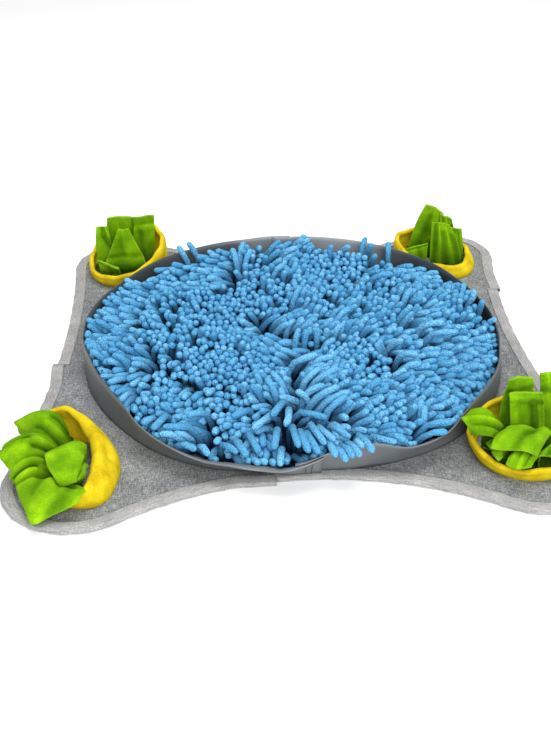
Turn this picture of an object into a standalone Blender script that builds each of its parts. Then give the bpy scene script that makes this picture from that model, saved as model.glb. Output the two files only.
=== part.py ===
"""Snuffle mat: a lobed cloth panel with bound edges, a round tray of noodle pile and four corner pockets.

The origin is at the centre of the tray, on the surface that the mat rests on. +X is the mat's right side,
+Y its back, +Z up. All sizes are in metres and angles in degrees.
"""
import math
import random
from collections import namedtuple

import bmesh
import bpy
from mathutils import Vector

MM = 0.001
GAP = 0.0003                    # clearance between pieces that lie on each other
SHARP_ANGLE = 50                # edges that turn by more than this are drawn sharp
HALVINGS = 60                   # steps in which a bay's arc is fitted to its two lobes

# ---- panel and its binding ----
PANEL_THICKNESS = 0.0025
TAPE_THICKNESS = 0.0009
TAPE_LEG = 0.0118               # how far the folded tape reaches in from the rim
TAPE_CORNER = 0.0008            # chamfer along the tape's fold
PANEL_RAMP = 0.0040             # the panel drops to the floor over this width, inside the tape
LAP_PROUD = 0.0050              # how far a lapping strip end stands out from the next strip
LAP_FADE = 0.0450
LOBE_STEPS = 13
BAY_STEPS = 13

Lobe = namedtuple("Lobe", "x y radius")
Bay = namedtuple("Bay", "out_x out_y depth")
LOBES = (
    Lobe(x=-0.199, y=-0.208, radius=0.066),
    Lobe(x=0.200, y=-0.208, radius=0.064),
    Lobe(x=0.186, y=0.214, radius=0.060),
    Lobe(x=-0.181, y=0.212, radius=0.061),
)
# the bay that follows each lobe on the way round: front, right, back, left
BAYS = (
    Bay(out_x=0, out_y=-1, depth=0.212),
    Bay(out_x=1, out_y=0, depth=0.233),
    Bay(out_x=0, out_y=1, depth=0.229),
    Bay(out_x=-1, out_y=0, depth=0.236),
)
Strip = namedtuple("Strip", "name start_x start_y end_x end_y proud_start proud_end")
STRIPS = (
    Strip("binding_front_left", -0.240, -0.006, -0.026, -0.212, 1, 1),
    Strip("binding_front_right", -0.026, -0.212, 0.238, 0.127, 0, 0),
    Strip("binding_back_right", 0.238, 0.127, -0.012, 0.229, 0.6, 1),
    Strip("binding_back_left", -0.012, 0.229, -0.240, -0.006, 0, 0),
)

# ---- standing wall of the tray ----
WALL_WIDTH = 0.033
WALL_THICKNESS = 0.0020
WALL_LAP_GAP = 0.0005
WALL_STEP = 3.75
WALL_FLEX = 0.25                # share of the lean by which the upper half leans more than the lower
TAPE_CROSSING = 15              # half angle over which the wall's foot stands on the front binding
TAPE_CROSSING_END = 23
LAP_ANGLE = 7                   # over this angle a lapping wall end comes back to the common line

WallRow = namedtuple("WallRow", "azimuth foot lean")
WALL_ROWS = (
    WallRow(-180, 0.2105, 0),
    WallRow(-165, 0.2090, -5),
    WallRow(-150, 0.2085, -3),
    WallRow(-141, 0.2090, 3),
    WallRow(-132, 0.2110, 18),
    WallRow(-121, 0.2110, 36),
    WallRow(-110, 0.2090, 46),
    WallRow(-99, 0.2060, 52),
    WallRow(-91, 0.2035, 44),
    WallRow(-84, 0.2045, 26),
    WallRow(-75, 0.2075, 20),
    WallRow(-66, 0.2080, 36),
    WallRow(-58, 0.2100, 33),
    WallRow(-50, 0.2110, 16),
    WallRow(-42, 0.2100, 6),
    WallRow(-28, 0.2090, 0),
    WallRow(-8, 0.2070, -6),
    WallRow(20, 0.2075, -8),
    WallRow(42, 0.2090, -2),
    WallRow(70, 0.2090, 4),
    WallRow(92, 0.2090, 3),
    WallRow(117, 0.2090, 7),
    WallRow(130, 0.2090, 9),
    WallRow(146, 0.2095, -1),
    WallRow(164, 0.2110, 2),
)
WallHalf = namedtuple("WallHalf", "name start end lapped_out")
WALL_HALVES = (
    WallHalf("wall_right", -93.0, 93.5, 0),
    WallHalf("wall_left", 88.0, 273.3, 1),
)

# ---- noodle pile ----
PILE_RADIUS = 0.191
PILE_RINGS = (0.036, 0.074, 0.110, 0.142, 0.169, PILE_RADIUS)
PILE_SECTORS = 96
PILE_SIDE_HEIGHTS = (0.0030, 0.0050, 0.0150, 0.0195, 0.0305)
LOW_LOCKS = 1                   # the side row that grows locks only where the wall leans out
HIGH_LOCKS = 3                  # the side row that grows locks all the way round
LOW_LOCK_LEAN = 12
PILE_TOP = 0.0375
PILE_LUMP = 0.0042
SMALL_LUMP = 0.6                # height of the smaller lumps against the larger
PILE_TUFT = 0.0030              # unevenness from one tuft to the next
PILE_RIM_DROP = 0.0050
LOCK_INSET = 0.0022
LOCK_WIDTH = 0.0084
LOCK_SWAY = 0.0015
LOCK_HEIGHT = 0.0072
LOCK_TAPER = 0.88               # a lock's width at each bend against the one before
LOCK_REACH_OVER = 0.0065        # half height of the room that a lock needs beside the wall
LOCK_LONGEST = 0.040
LOCK_CLIMB = 0.35               # the most that a lock rises for its reach
LEVEL_LEAN = 45                 # where the wall leans this far out, its locks lie level
WALL_CLEARANCE = 0.0030

# the lumps of the top are products of two waves, in radians a metre
Wave = namedtuple("Wave", "per_x per_y phase")
LARGE_WAVES = (Wave(61, 23, 0.5), Wave(-19, 57, 1.2))
SMALL_WAVES = (Wave(113, -31, 0.0), Wave(47, 103, 0.7))

Hollow = namedtuple("Hollow", "x y radius depth")
HOLLOWS = (
    Hollow(-0.137, -0.017, 0.030, 0.007),
    Hollow(0.140, 0.083, 0.042, 0.007),
    Hollow(0.037, -0.057, 0.034, 0.007),
    Hollow(-0.005, -0.160, 0.036, 0.009),
    Hollow(-0.147, 0.068, 0.034, 0.005),
)
# locks between these azimuths fall over the brim of the wall, along this path
SPILL_FROM = -88
SPILL_TO = -72
Bend = namedtuple("Bend", "radius height")
SPILL_PATH = (Bend(0.2030, 0.0360), Bend(0.2150, 0.0425), Bend(0.2275, 0.0385), Bend(0.2320, 0.0230))

# ---- corner pockets ----
POCKET_THICKNESS = 0.0020
POCKET_STATIONS = 30
RIM_ROLL = 0.0022               # half thickness of the doubled rim
RIM_DEPTH = 0.0034
RIM_SHARE = 0.4                 # the roll's depth against the upper half of a low wall
RIM_SHOULDER = 0.9              # half thickness of the roll near its top, against RIM_ROLL
RIM_CREST = 0.6                 # height of the roll over its shoulders, against RIM_ROLL

# The rim is an ellipse shifted and turned against the foot. high_side is where it stands highest, by swing
# over the mean height. corner swells the foot towards corner_side.
Pocket = namedtuple("Pocket", "x y foot_x foot_y corner corner_side rim_x rim_y shift_x shift_y turn "
                    "height swing high_side bulge")
POCKETS = {
    "pocket_front_left": Pocket(-0.203, -0.192, 0.039, 0.046, 0.20, -57, 0.030, 0.055, -0.012, -0.003, 12,
                                0.023, 0.014, 52, 0.0060),
    "pocket_front_right": Pocket(0.196, -0.181, 0.043, 0.046, 0.00, 0, 0.047, 0.049, -0.002, -0.002, 0,
                                 0.020, 0.006, 80, 0.0040),
    "pocket_back_right": Pocket(0.178, 0.200, 0.043, 0.043, 0.10, -53, 0.039, 0.044, -0.005, -0.001, 3,
                                0.021, 0.008, 157, 0.0048),
    "pocket_back_left": Pocket(-0.181, 0.203, 0.041, 0.042, 0.00, 0, 0.040, 0.047, 0.000, -0.001, 0,
                               0.028, 0.016, 41, 0.0048),
}
CORNER_SPREAD = 10              # the higher, the narrower the swollen corner of a foot

# ---- fleece leaves in the pockets ----
LEAF_THICKNESS = 0.0022
LEAF_STEPS = 7
LEAF_LIFT = 0.0014              # clearance of a leaf's sewn root over the panel
LEAF_ACROSS = (-1, -0.5, 0, 0.5, 1)
LEAF_PROBE = 0.02               # half step over which a leaf's surface normal is measured

# A leaf is a curved sheet from its sewn root over a bend to its cut edge. Each of the three lines has a left
# and a right end; bow lifts the middle of the bend, tip pulls out the middle of the edge to a corner. Places
# are in millimetres from the pocket's centre: to the right, to the back and up.
Place = namedtuple("Place", "right back up")
Leaf = namedtuple("Leaf", "name pocket root_a root_b bend_a bend_b edge_a edge_b bow tip")
LEAVES = (
    Leaf("leaf_back_left_a", "pocket_back_left", Place(4, 12, 0), Place(29, 12, 0),
         Place(8, 12, 30), Place(33, 12, 30), Place(10, 13, 61), Place(33, 14, 61),
         Place(0, -2, 0), Place(0, 0, 0)),
    Leaf("leaf_back_left_b", "pocket_back_left", Place(-24, 18, 0), Place(2, 18, 0),
         Place(-24, 19, 30), Place(8, 19, 30), Place(-21, 19, 58), Place(12, 20, 58),
         Place(0, 0, 0), Place(0, 0, 0)),
    Leaf("leaf_back_left_c", "pocket_back_left", Place(-33, -3, 0), Place(-16, 0, 0),
         Place(-36, 2, 26), Place(-18, 4, 30), Place(-34, 12, 49), Place(-20, 12, 51),
         Place(0, -3, 0), Place(0, 0, 0)),
    Leaf("leaf_back_left_d", "pocket_back_left", Place(-30, -12, 0), Place(26, -12, 0),
         Place(-19, -13, 28), Place(19, -13, 28), Place(-7, -3, 53), Place(4, -4, 53),
         Place(0, 0, 0), Place(0, 0, 0)),
    Leaf("leaf_back_left_e", "pocket_back_left", Place(-28, -20, 0), Place(-7, -22, 0),
         Place(-31, -20, 20), Place(-7, -30, 22), Place(-31, -24, 26), Place(-7, -39, 19),
         Place(0, 0, 0), Place(0, 0, 0)),
    Leaf("leaf_back_right_a", "pocket_back_right", Place(-30, 12, 0), Place(6, 12, 0),
         Place(-33, 12, 28), Place(8, 12, 30), Place(-12, 16, 66), Place(8, 12, 57),
         Place(0, 0, 0), Place(0, 0, 0)),
    Leaf("leaf_back_right_b", "pocket_back_right", Place(0, 6, 0), Place(25, 5, 0),
         Place(4, 7, 30), Place(24, 6, 30), Place(4, 8, 56), Place(16, 5, 52),
         Place(0, 0, 0), Place(0, 0, 0)),
    Leaf("leaf_back_right_c", "pocket_back_right", Place(11, -5, 0), Place(31, -4, 0),
         Place(15, -3, 26), Place(30, -3, 28), Place(15, -1, 44), Place(27, -2, 41),
         Place(0, 0, 0), Place(0, 0, 0)),
    Leaf("leaf_back_right_d", "pocket_back_right", Place(-10, -17, 0), Place(27, -16, 0),
         Place(-11, -17, 30), Place(24, -17, 30), Place(-8, -5, 53), Place(12, -7, 50),
         Place(0, -2, 0), Place(0, 0, 0)),
    Leaf("leaf_back_right_e", "pocket_back_right", Place(-37, -14, 0), Place(-13, -16, 0),
         Place(-39, -14, 14), Place(-14, -16, 16), Place(-37, -13, 24), Place(-13, -14, 31),
         Place(0, 0, 0), Place(0, 0, 0)),
    Leaf("leaf_front_left_a", "pocket_front_left", Place(-3, 27, 0), Place(-3, 10, 0),
         Place(-7, 48, 60), Place(-24, 6, 50), Place(-55, 48, 22), Place(-51, 38, 17),
         Place(0, 0, 4), Place(0, 0, 0)),
    Leaf("leaf_front_left_b", "pocket_front_left", Place(-3, 5, 0), Place(-4, -7, 0),
         Place(-16, 2, 60), Place(-24, -18, 56), Place(-56, 5, 31), Place(-51, -19, 20),
         Place(0, 0, 6), Place(-7, 0, 4)),
    Leaf("leaf_front_left_c", "pocket_front_left", Place(3, -6, 0), Place(3, -26, 0),
         Place(32, -8, 58), Place(32, -50, 44), Place(-19, -28, 41), Place(-8, -53, 31),
         Place(0, 0, 0), Place(0, 0, 0)),
    Leaf("leaf_front_left_d", "pocket_front_left", Place(-12, -11, 0), Place(-12, -24, 0),
         Place(-24, -15, 46), Place(-28, -32, 38), Place(-45, -17, 22), Place(-41, -34, 10),
         Place(0, 0, 2), Place(-9, 0, -3)),
    Leaf("leaf_front_left_e", "pocket_front_left", Place(-14, -28, 0), Place(2, -30, 0),
         Place(-12, -53, 49), Place(20, -56, 41), Place(-41, -46, 14), Place(5, -66, 14),
         Place(0, 0, 0), Place(-8, -22, -10)),
    Leaf("leaf_front_right_a", "pocket_front_right", Place(-24, 12, 0), Place(8, 12, 0),
         Place(-25, 12, 30), Place(9, 12, 34), Place(-18, 12, 68), Place(3, 12, 67),
         Place(0, -2, 0), Place(0, 0, 0)),
    Leaf("leaf_front_right_b", "pocket_front_right", Place(-21, 8, 0), Place(-21, -4, 0),
         Place(-26, 2, 52), Place(-24, -28, 47), Place(-52, -3, 46), Place(-58, -20, 38),
         Place(0, 0, 0), Place(-6, 0, 0)),
    Leaf("leaf_front_right_c", "pocket_front_right", Place(-14, -13, 0), Place(14, -14, 0),
         Place(-22, -18, 62), Place(16, -24, 66), Place(-38, -40, 30), Place(-8, -51, 31),
         Place(0, 0, 0), Place(0, 0, 0)),
    Leaf("leaf_front_right_d", "pocket_front_right", Place(14, 12, 0), Place(33, 10, 0),
         Place(13, 12, 36), Place(35, 9, 38), Place(9, 13, 71), Place(33, 11, 72),
         Place(0, 0, 0), Place(0, 0, 0)),
    Leaf("leaf_front_right_e", "pocket_front_right", Place(19, -16, 0), Place(33, -13, 0),
         Place(15, -36, 44), Place(37, -30, 44), Place(-2, -50, 27), Place(30, -50, 26),
         Place(0, 0, 0), Place(0, 0, 0)),
    Leaf("leaf_front_right_f", "pocket_front_right", Place(-15, -8, 0), Place(13, -8, 0),
         Place(-17, -9, 30), Place(14, -8, 30), Place(-20, -3, 61), Place(8, -3, 63),
         Place(0, -2, 0), Place(0, 0, 0)),
    Leaf("leaf_front_right_g", "pocket_front_right", Place(-10, -22, 0), Place(4, -24, 0),
         Place(-16, -34, 40), Place(2, -36, 40), Place(-28, -51, 20), Place(-11, -55, 20),
         Place(0, 0, 0), Place(-2, -4, -2)),
    Leaf("leaf_front_right_h", "pocket_front_right", Place(-19, -14, 0), Place(-18, -22, 0),
         Place(-27, -16, 36), Place(-26, -30, 34), Place(-41, -17, 20), Place(-36, -42, 21),
         Place(0, 0, 0), Place(0, 0, 0)),
)

Finish = namedtuple("Finish", "red green blue roughness")
FINISHES = {
    "grey_melange_cloth": Finish(0.262, 0.279, 0.283, 0.85),
    "grey_binding_tape": Finish(0.366, 0.358, 0.349, 0.80),
    "grey_wall_cloth": Finish(0.190, 0.210, 0.225, 0.50),
    "blue_chenille": Finish(0.082, 0.296, 0.546, 0.90),
    "yellow_fleece": Finish(0.740, 0.610, 0.025, 0.88),
    "green_fleece": Finish(0.165, 0.319, 0.008, 0.88),
}


def smooth(share):
    """An eased step from 0 to 1."""
    share = min(max(share, 0.0), 1.0)
    return share * share * (3 - 2 * share)


def heading(degrees):
    return Vector((math.cos(math.radians(degrees)), math.sin(math.radians(degrees))))


def add_object(name, bm, finish):
    """Turn a bmesh into a named object with its material."""
    bmesh.ops.recalc_face_normals(bm, faces=bm.faces)
    mesh = bpy.data.meshes.new(name)
    bm.to_mesh(mesh)
    bm.free()
    mesh.shade_smooth()
    mesh.set_sharp_from_angle(angle=math.radians(SHARP_ANGLE))
    thing = bpy.data.objects.new(name, mesh)
    bpy.context.collection.objects.link(thing)
    mesh.materials.append(bpy.data.materials[finish])
    return thing


def add_finishes():
    for name, finish in FINISHES.items():
        material = bpy.data.materials.new(name)
        material.use_nodes = True
        shader = material.node_tree.nodes["Principled BSDF"]
        shader.inputs["Base Color"].default_value = (finish.red, finish.green, finish.blue, 1)
        shader.inputs["Roughness"].default_value = finish.roughness
        shader.inputs["Metallic"].default_value = 0


def add_band(bm, sections, closed, flat=False):
    """Skin a row of equal closed sections, and cap both ends unless the row is closed.

    A flat section is one face's points followed by the other's back again, so its ends are capped by a row
    of quads from face to face.
    """
    rings = [[bm.verts.new(point) for point in section] for section in sections]
    size = len(rings[0])
    pairs = list(zip(rings, rings[1:]))
    if closed:
        pairs.append((rings[-1], rings[0]))
    for near, far in pairs:
        for i in range(size):
            j = (i + 1) % size
            bm.faces.new((near[i], near[j], far[j], far[i]))
    if flat:
        for i in range(size // 2 - 1):
            for ring, order in ((rings[0], -1), (rings[-1], 1)):
                bm.faces.new((ring[i], ring[i + 1], ring[size - 2 - i], ring[size - 1 - i])[::order])
    elif not closed:
        bm.faces.new(rings[0][::-1])
        bm.faces.new(rings[-1])
    return rings


# ---- outline ----

def bay_arc(first, second, bay):
    """The arc that touches both lobes from outside and comes within the bay's depth of the centre."""
    out = Vector((bay.out_x, bay.out_y))
    along = Vector((-out.y, out.x))

    def radius_for(lobe, centre):
        place = Vector((lobe.x, lobe.y))
        run = centre - place.dot(along)
        rise = bay.depth - place.dot(out)
        return (run * run + rise * rise - lobe.radius ** 2) / (2 * (lobe.radius - rise))

    low = Vector((first.x, first.y)).dot(along)
    high = Vector((second.x, second.y)).dot(along)
    for _ in range(HALVINGS):
        middle = (low + high) / 2
        if radius_for(first, middle) < radius_for(second, middle):
            low = middle
        else:
            high = middle
    radius = radius_for(first, low)
    return out * (bay.depth + radius) + along * low, radius


def arc_angle(centre, point):
    return math.atan2(point.y - centre.y, point.x - centre.x)


def arc_points(centre, radius, start, end, steps, turn, last):
    """Points with outward normals on an arc; turn is 1 round a lobe and -1 round a bay."""
    sweep = (end - start) * turn % (2 * math.pi) * turn
    count = steps if last else steps - 1
    points = []
    for i in range(count):
        angle = start + sweep * i / (steps - 1)
        normal = Vector((math.cos(angle), math.sin(angle)))
        points.append((centre + normal * radius, normal * turn))
    return points


def outline():
    """Points and outward normals all the way round the mat, seen from above against the clock."""
    arcs = [bay_arc(LOBES[i], LOBES[(i + 1) % 4], BAYS[i]) for i in range(4)]
    points = []
    for i, lobe in enumerate(LOBES):
        lobe_centre = Vector((lobe.x, lobe.y))
        next_lobe = LOBES[(i + 1) % 4]
        bay_centre, bay_radius = arcs[i]
        before = arcs[i - 1][0]
        points += arc_points(lobe_centre, lobe.radius, arc_angle(lobe_centre, before),
                             arc_angle(lobe_centre, bay_centre), LOBE_STEPS, 1, False)
        points += arc_points(bay_centre, bay_radius, arc_angle(bay_centre, lobe_centre),
                             arc_angle(bay_centre, Vector((next_lobe.x, next_lobe.y))), BAY_STEPS, -1, False)
    return points


def nearest(points, x, y):
    place = Vector((x, y))
    return min(range(len(points)), key=lambda i: (points[i][0] - place).length)


def make_panel(points):
    """The panel: its rim stands on the tape's lower leg, and the rest lies on the floor."""
    rim_bottom = TAPE_THICKNESS + GAP
    levels = (
        (TAPE_THICKNESS + GAP, rim_bottom),
        (TAPE_LEG + GAP, rim_bottom),
        (TAPE_LEG + GAP + PANEL_RAMP, 0.0),
    )
    bm = bmesh.new()
    tops = []
    bottoms = []
    for inset, bottom in levels:
        ring = [place - normal * inset for place, normal in points]
        bottoms.append([bm.verts.new((p.x, p.y, bottom)) for p in ring])
        tops.append([bm.verts.new((p.x, p.y, bottom + PANEL_THICKNESS)) for p in ring])
    loops = [bottoms[2], bottoms[1], bottoms[0], tops[0], tops[1], tops[2]]
    size = len(points)
    for near, far in zip(loops, loops[1:]):
        for i in range(size):
            j = (i + 1) % size
            bm.faces.new((near[i], near[j], far[j], far[i]))
    for loop in (loops[0], loops[-1]):
        cap = bm.faces.new(loop)
        bmesh.ops.triangulate(bm, faces=[cap])
    add_object("mat_panel", bm, "grey_melange_cloth")


def tape_section(place, normal, proud):
    """The folded tape: two legs and the fold round the rim."""
    top = 2 * (TAPE_THICKNESS + GAP) + PANEL_THICKNESS
    profile = (
        (-TAPE_LEG, 0), (-TAPE_CORNER, 0), (0, TAPE_CORNER), (0, top - TAPE_CORNER), (-TAPE_CORNER, top),
        (-TAPE_LEG, top), (-TAPE_LEG, top - TAPE_THICKNESS), (-TAPE_THICKNESS, top - TAPE_THICKNESS),
        (-TAPE_THICKNESS, TAPE_THICKNESS), (-TAPE_LEG, TAPE_THICKNESS),
    )
    return [Vector((place.x + normal.x * (out + proud), place.y + normal.y * (out + proud), z))
            for out, z in profile]


def make_bindings(points):
    for strip in STRIPS:
        start = nearest(points, strip.start_x, strip.start_y)
        end = nearest(points, strip.end_x, strip.end_y)
        count = (end - start) % len(points) + 1
        run = [points[(start + i) % len(points)] for i in range(count)]
        lengths = [0.0]
        for (near, _), (far, _) in zip(run, run[1:]):
            lengths.append(lengths[-1] + (far - near).length)
        sections = []
        for i, (place, normal) in enumerate(run):
            proud = LAP_PROUD * max(strip.proud_start * smooth(1 - lengths[i] / LAP_FADE),
                                    strip.proud_end * smooth(1 - (lengths[-1] - lengths[i]) / LAP_FADE))
            forward = Vector((-normal.y, normal.x))
            if i == 0:
                place = place + forward * GAP
            if i == count - 1:
                place = place - forward * GAP
            sections.append(tape_section(place, normal, proud))
        bm = bmesh.new()
        add_band(bm, sections, False)
        add_object(strip.name, bm, "grey_binding_tape")


# ---- wall ----

def wall_at(azimuth):
    """Foot radius and lean of the wall at an azimuth, eased between the rows by a cubic."""
    azimuth = (azimuth + 180) % 360 - 180
    count = len(WALL_ROWS)
    index = max(i for i in range(count) if WALL_ROWS[i].azimuth <= azimuth)
    rows = [WALL_ROWS[(index + i) % count] for i in (-1, 0, 1, 2)]
    angles = [rows[1].azimuth + (row.azimuth - rows[1].azimuth) % 360 for row in rows]
    angles[0] -= 360
    width = angles[2] - angles[1]
    share = (azimuth - angles[1]) / width
    values = []
    for field in ("foot", "lean"):
        a, b, c, d = (getattr(row, field) for row in rows)
        slope_b = (c - a) / (angles[2] - angles[0]) * width
        slope_c = (d - b) / (angles[3] - angles[1]) * width
        values.append(b + slope_b * share + (3 * (c - b) - 2 * slope_b - slope_c) * share ** 2
                      + (2 * (b - c) + slope_b + slope_c) * share ** 3)
    return values


def wall_foot_height(azimuth):
    """The wall stands on the panel, and on the binding where the front bay comes under it."""
    off_front = abs((azimuth + 90 + 180) % 360 - 180)
    rise = TAPE_THICKNESS + GAP + TAPE_THICKNESS + GAP
    crossing = smooth((TAPE_CROSSING_END - off_front) / (TAPE_CROSSING_END - TAPE_CROSSING))
    return PANEL_THICKNESS + GAP + rise * crossing


def wall_line(azimuth, out=0.0):
    """Radius and height of the wall's middle line at its foot, half way up and at the brim."""
    foot, lean = wall_at(azimuth)
    radius = foot + out
    height = wall_foot_height(azimuth)
    line = [(radius, height)]
    for part in (1 - WALL_FLEX, 1 + WALL_FLEX):
        angle = math.radians(lean * part)
        radius += math.sin(angle) * WALL_WIDTH / 2
        height += math.cos(angle) * WALL_WIDTH / 2
        line.append((radius, height))
    return line


def wall_section(azimuth, out):
    line = wall_line(azimuth, out)
    ahead = heading(azimuth)
    outer = []
    inner = []
    for i, (radius, height) in enumerate(line):
        low = line[max(i - 1, 0)]
        high = line[min(i + 1, 2)]
        run = Vector((high[0] - low[0], high[1] - low[1])).normalized()
        side = Vector((run.y, -run.x)) * WALL_THICKNESS / 2
        if i == 0:
            side.y = 0
        outer.append((radius + side.x, height + side.y))
        inner.append((radius - side.x, height - side.y))
    return [Vector((ahead.x * radius, ahead.y * radius, height)) for radius, height in outer + inner[::-1]]


def make_walls():
    for half in WALL_HALVES:
        steps = round((half.end - half.start) / WALL_STEP)
        sections = []
        for i in range(steps + 1):
            azimuth = half.start + (half.end - half.start) * i / steps
            end_distance = min(azimuth - half.start, half.end - azimuth)
            lap = smooth(1 - (end_distance - LAP_ANGLE) / LAP_ANGLE)
            steepest = math.radians(wall_at(azimuth)[1] * (1 + WALL_FLEX))
            out = half.lapped_out * lap * (WALL_THICKNESS + WALL_LAP_GAP) / math.cos(steepest)
            sections.append(wall_section(azimuth, out))
        bm = bmesh.new()
        add_band(bm, sections, False)
        add_object(half.name, bm, "grey_wall_cloth")


# ---- pile ----

def wave_product(waves, x, y):
    return math.prod(math.sin(wave.per_x * x + wave.per_y * y + wave.phase) for wave in waves)


def pile_top(x, y):
    """Height of the pile's lumpy top."""
    lumps = wave_product(LARGE_WAVES, x, y) + SMALL_LUMP * wave_product(SMALL_WAVES, x, y)
    height = PILE_TOP + PILE_LUMP * lumps
    for hollow in HOLLOWS:
        distance = math.hypot(x - hollow.x, y - hollow.y) / hollow.radius
        height -= hollow.depth * smooth(1 - distance)
    radius = math.hypot(x, y)
    rim_share = (radius - PILE_RINGS[-3]) / (PILE_RADIUS - PILE_RINGS[-3])
    return height - PILE_RIM_DROP * smooth(rim_share)


def wall_inside(azimuth, height):
    """Radius of the wall's inner face at a height."""
    line = wall_line(azimuth)
    for (low_radius, low), (high_radius, high) in zip(line, line[1:]):
        if height <= high:
            break
    share = min((height - low) / (high - low), 1.0)
    slope = (high_radius - low_radius) / (high - low)
    radius = low_radius + (high_radius - low_radius) * share
    return radius - WALL_THICKNESS / 2 * math.hypot(1, slope)


def lock_path(azimuth, height, upper, chance):
    """Radius and height of a lock's bends, from the slab's rim to a tip that stays clear of the wall."""
    if upper and SPILL_FROM < azimuth - 360 < SPILL_TO:
        return SPILL_PATH
    lean = wall_at(azimuth)[1]
    room = min(wall_inside(azimuth, height - LOCK_REACH_OVER), wall_inside(azimuth, height + LOCK_REACH_OVER))
    room -= WALL_CLEARANCE * math.hypot(1, math.tan(math.radians(lean)))
    reach = min(room - PILE_RADIUS, LOCK_LONGEST) * chance.uniform(0.80, 1.0)
    rise = reach * LOCK_CLIMB * chance.random() * (1 - smooth(lean / LEVEL_LEAN))
    return Bend(PILE_RADIUS + reach / 2, height + rise / 2), Bend(PILE_RADIUS + reach, height + rise)


def grow_lock(bm, face, azimuth, upper, chance):
    """Draw one rim face out into a four-sided lock that follows its path."""
    out = heading(azimuth)
    ahead = Vector((out.x, out.y, 0))
    side = Vector((-out.y, out.x, 0))
    centre = face.calc_center_median()
    path = lock_path(azimuth, centre.z, upper, chance)
    sideways = chance.uniform(-LOCK_SWAY, LOCK_SWAY)
    places = [Bend(centre.dot(ahead), centre.z), *path]
    size = 1.0
    for i in range(1, len(places)):
        before = places[i - 1]
        after = places[min(i + 1, len(places) - 1)]
        run = Vector((after.radius - before.radius, after.height - before.height)).normalized()
        across = Vector((0, 0, 1)) * run.x - ahead * run.y
        grown = bmesh.ops.extrude_discrete_faces(bm, faces=[face])["faces"][0]
        middle = ahead * places[i].radius + side * sideways * i / len(places)
        middle.z = places[i].height
        if i == 1:
            spread = [(math.copysign(LOCK_WIDTH / 2, (vert.co - centre).dot(side)),
                       math.copysign(LOCK_HEIGHT / 2, vert.co.z - centre.z)) for vert in grown.verts]
        for vert, (left, up) in zip(grown.verts, spread):
            vert.co = middle + (side * left + across * up) * size
        size *= LOCK_TAPER
        face = grown


def make_pile():
    """One lumpy slab: its top follows the pile, and its rim is drawn out into locks."""
    chance = random.Random(11)
    bm = bmesh.new()
    around = [heading(360 * i / PILE_SECTORS) for i in range(PILE_SECTORS)]
    top_rings = []
    for radius in PILE_RINGS[:-1]:
        tuft = PILE_TUFT * radius / PILE_RADIUS
        ring = []
        for ahead in around:
            place = ahead * radius
            height = pile_top(place.x, place.y) + chance.uniform(-tuft, tuft)
            ring.append(bm.verts.new((place.x, place.y, height)))
        top_rings.append(ring)
    side_rings = []
    for height in PILE_SIDE_HEIGHTS[::-1]:
        side_rings.append([bm.verts.new((ahead.x * PILE_RADIUS, ahead.y * PILE_RADIUS, height))
                           for ahead in around])
    top_rings.append(side_rings[0])
    crown = bm.verts.new((0, 0, pile_top(0, 0)))
    bm.faces.new(side_rings[-1])
    root_faces = []
    for i in range(PILE_SECTORS):
        j = (i + 1) % PILE_SECTORS
        azimuth = 360 * (i + 0.5) / PILE_SECTORS
        bm.faces.new((crown, top_rings[0][i], top_rings[0][j]))
        for near, far in zip(top_rings, top_rings[1:]):
            bm.faces.new((near[i], far[i], far[j], near[j]))
        for row, (above, below) in enumerate(zip(side_rings, side_rings[1:])):
            face = bm.faces.new((above[i], below[i], below[j], above[j]))
            level = len(PILE_SIDE_HEIGHTS) - 2 - row
            leaning = wall_at(azimuth)[1] > LOW_LOCK_LEAN
            if level == HIGH_LOCKS or (level == LOW_LOCKS and leaning):
                root_faces.append((face, azimuth, level == HIGH_LOCKS))
    bmesh.ops.recalc_face_normals(bm, faces=bm.faces)
    bmesh.ops.inset_individual(bm, faces=[face for face, _, _ in root_faces], thickness=LOCK_INSET)
    for face, azimuth, upper in root_faces:
        grow_lock(bm, face, azimuth, upper, chance)
    add_object("noodle_pile", bm, "blue_chenille")


# ---- pockets ----

def pocket_line(pocket, angle):
    """Three places on the middle line of a pocket's wall: foot, half way and rim."""
    ahead = heading(angle)
    swell = 1 + pocket.corner * max(0.0, heading(angle - pocket.corner_side).x) ** CORNER_SPREAD
    foot = Vector((pocket.x + pocket.foot_x * ahead.x * swell, pocket.y + pocket.foot_y * ahead.y * swell,
                   PANEL_THICKNESS + GAP))
    height = pocket.height + pocket.swing * math.cos(math.radians(angle - pocket.high_side))
    reach = heading(pocket.turn) * pocket.rim_x * ahead.x + heading(pocket.turn + 90) * pocket.rim_y * ahead.y
    rim = Vector((pocket.x + pocket.shift_x + reach.x, pocket.y + pocket.shift_y + reach.y,
                  PANEL_THICKNESS + GAP + height))
    bulge = Vector((ahead.x, ahead.y, 0)) * pocket.bulge * min(1.0, height / pocket.height)
    return foot, (foot + rim) / 2 + bulge, rim, ahead


def pocket_section(pocket, angle):
    """The fleece wall from foot to rim, with the doubled roll at the top."""
    foot, waist, rim, ahead = pocket_line(pocket, angle)
    out = Vector((ahead.x, ahead.y, 0))
    half = POCKET_THICKNESS / 2
    rise = (rim - waist).normalized()
    level = rise.cross(out).normalized()
    across = level.cross(rise).normalized()
    across *= 1 if across.dot(out) > 0 else -1
    depth = min(RIM_DEPTH, (rim - waist).length * RIM_SHARE)
    roll_foot = rim - rise * depth * 2
    return [
        foot + out * half, waist + across * half, roll_foot + across * half,
        rim - rise * depth + across * RIM_ROLL, rim + across * RIM_ROLL * RIM_SHOULDER,
        rim + rise * RIM_ROLL * RIM_CREST, rim - across * RIM_ROLL * RIM_SHOULDER,
        rim - rise * depth - across * RIM_ROLL, roll_foot - across * half,
        waist - across * half, foot - out * half,
    ]


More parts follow.
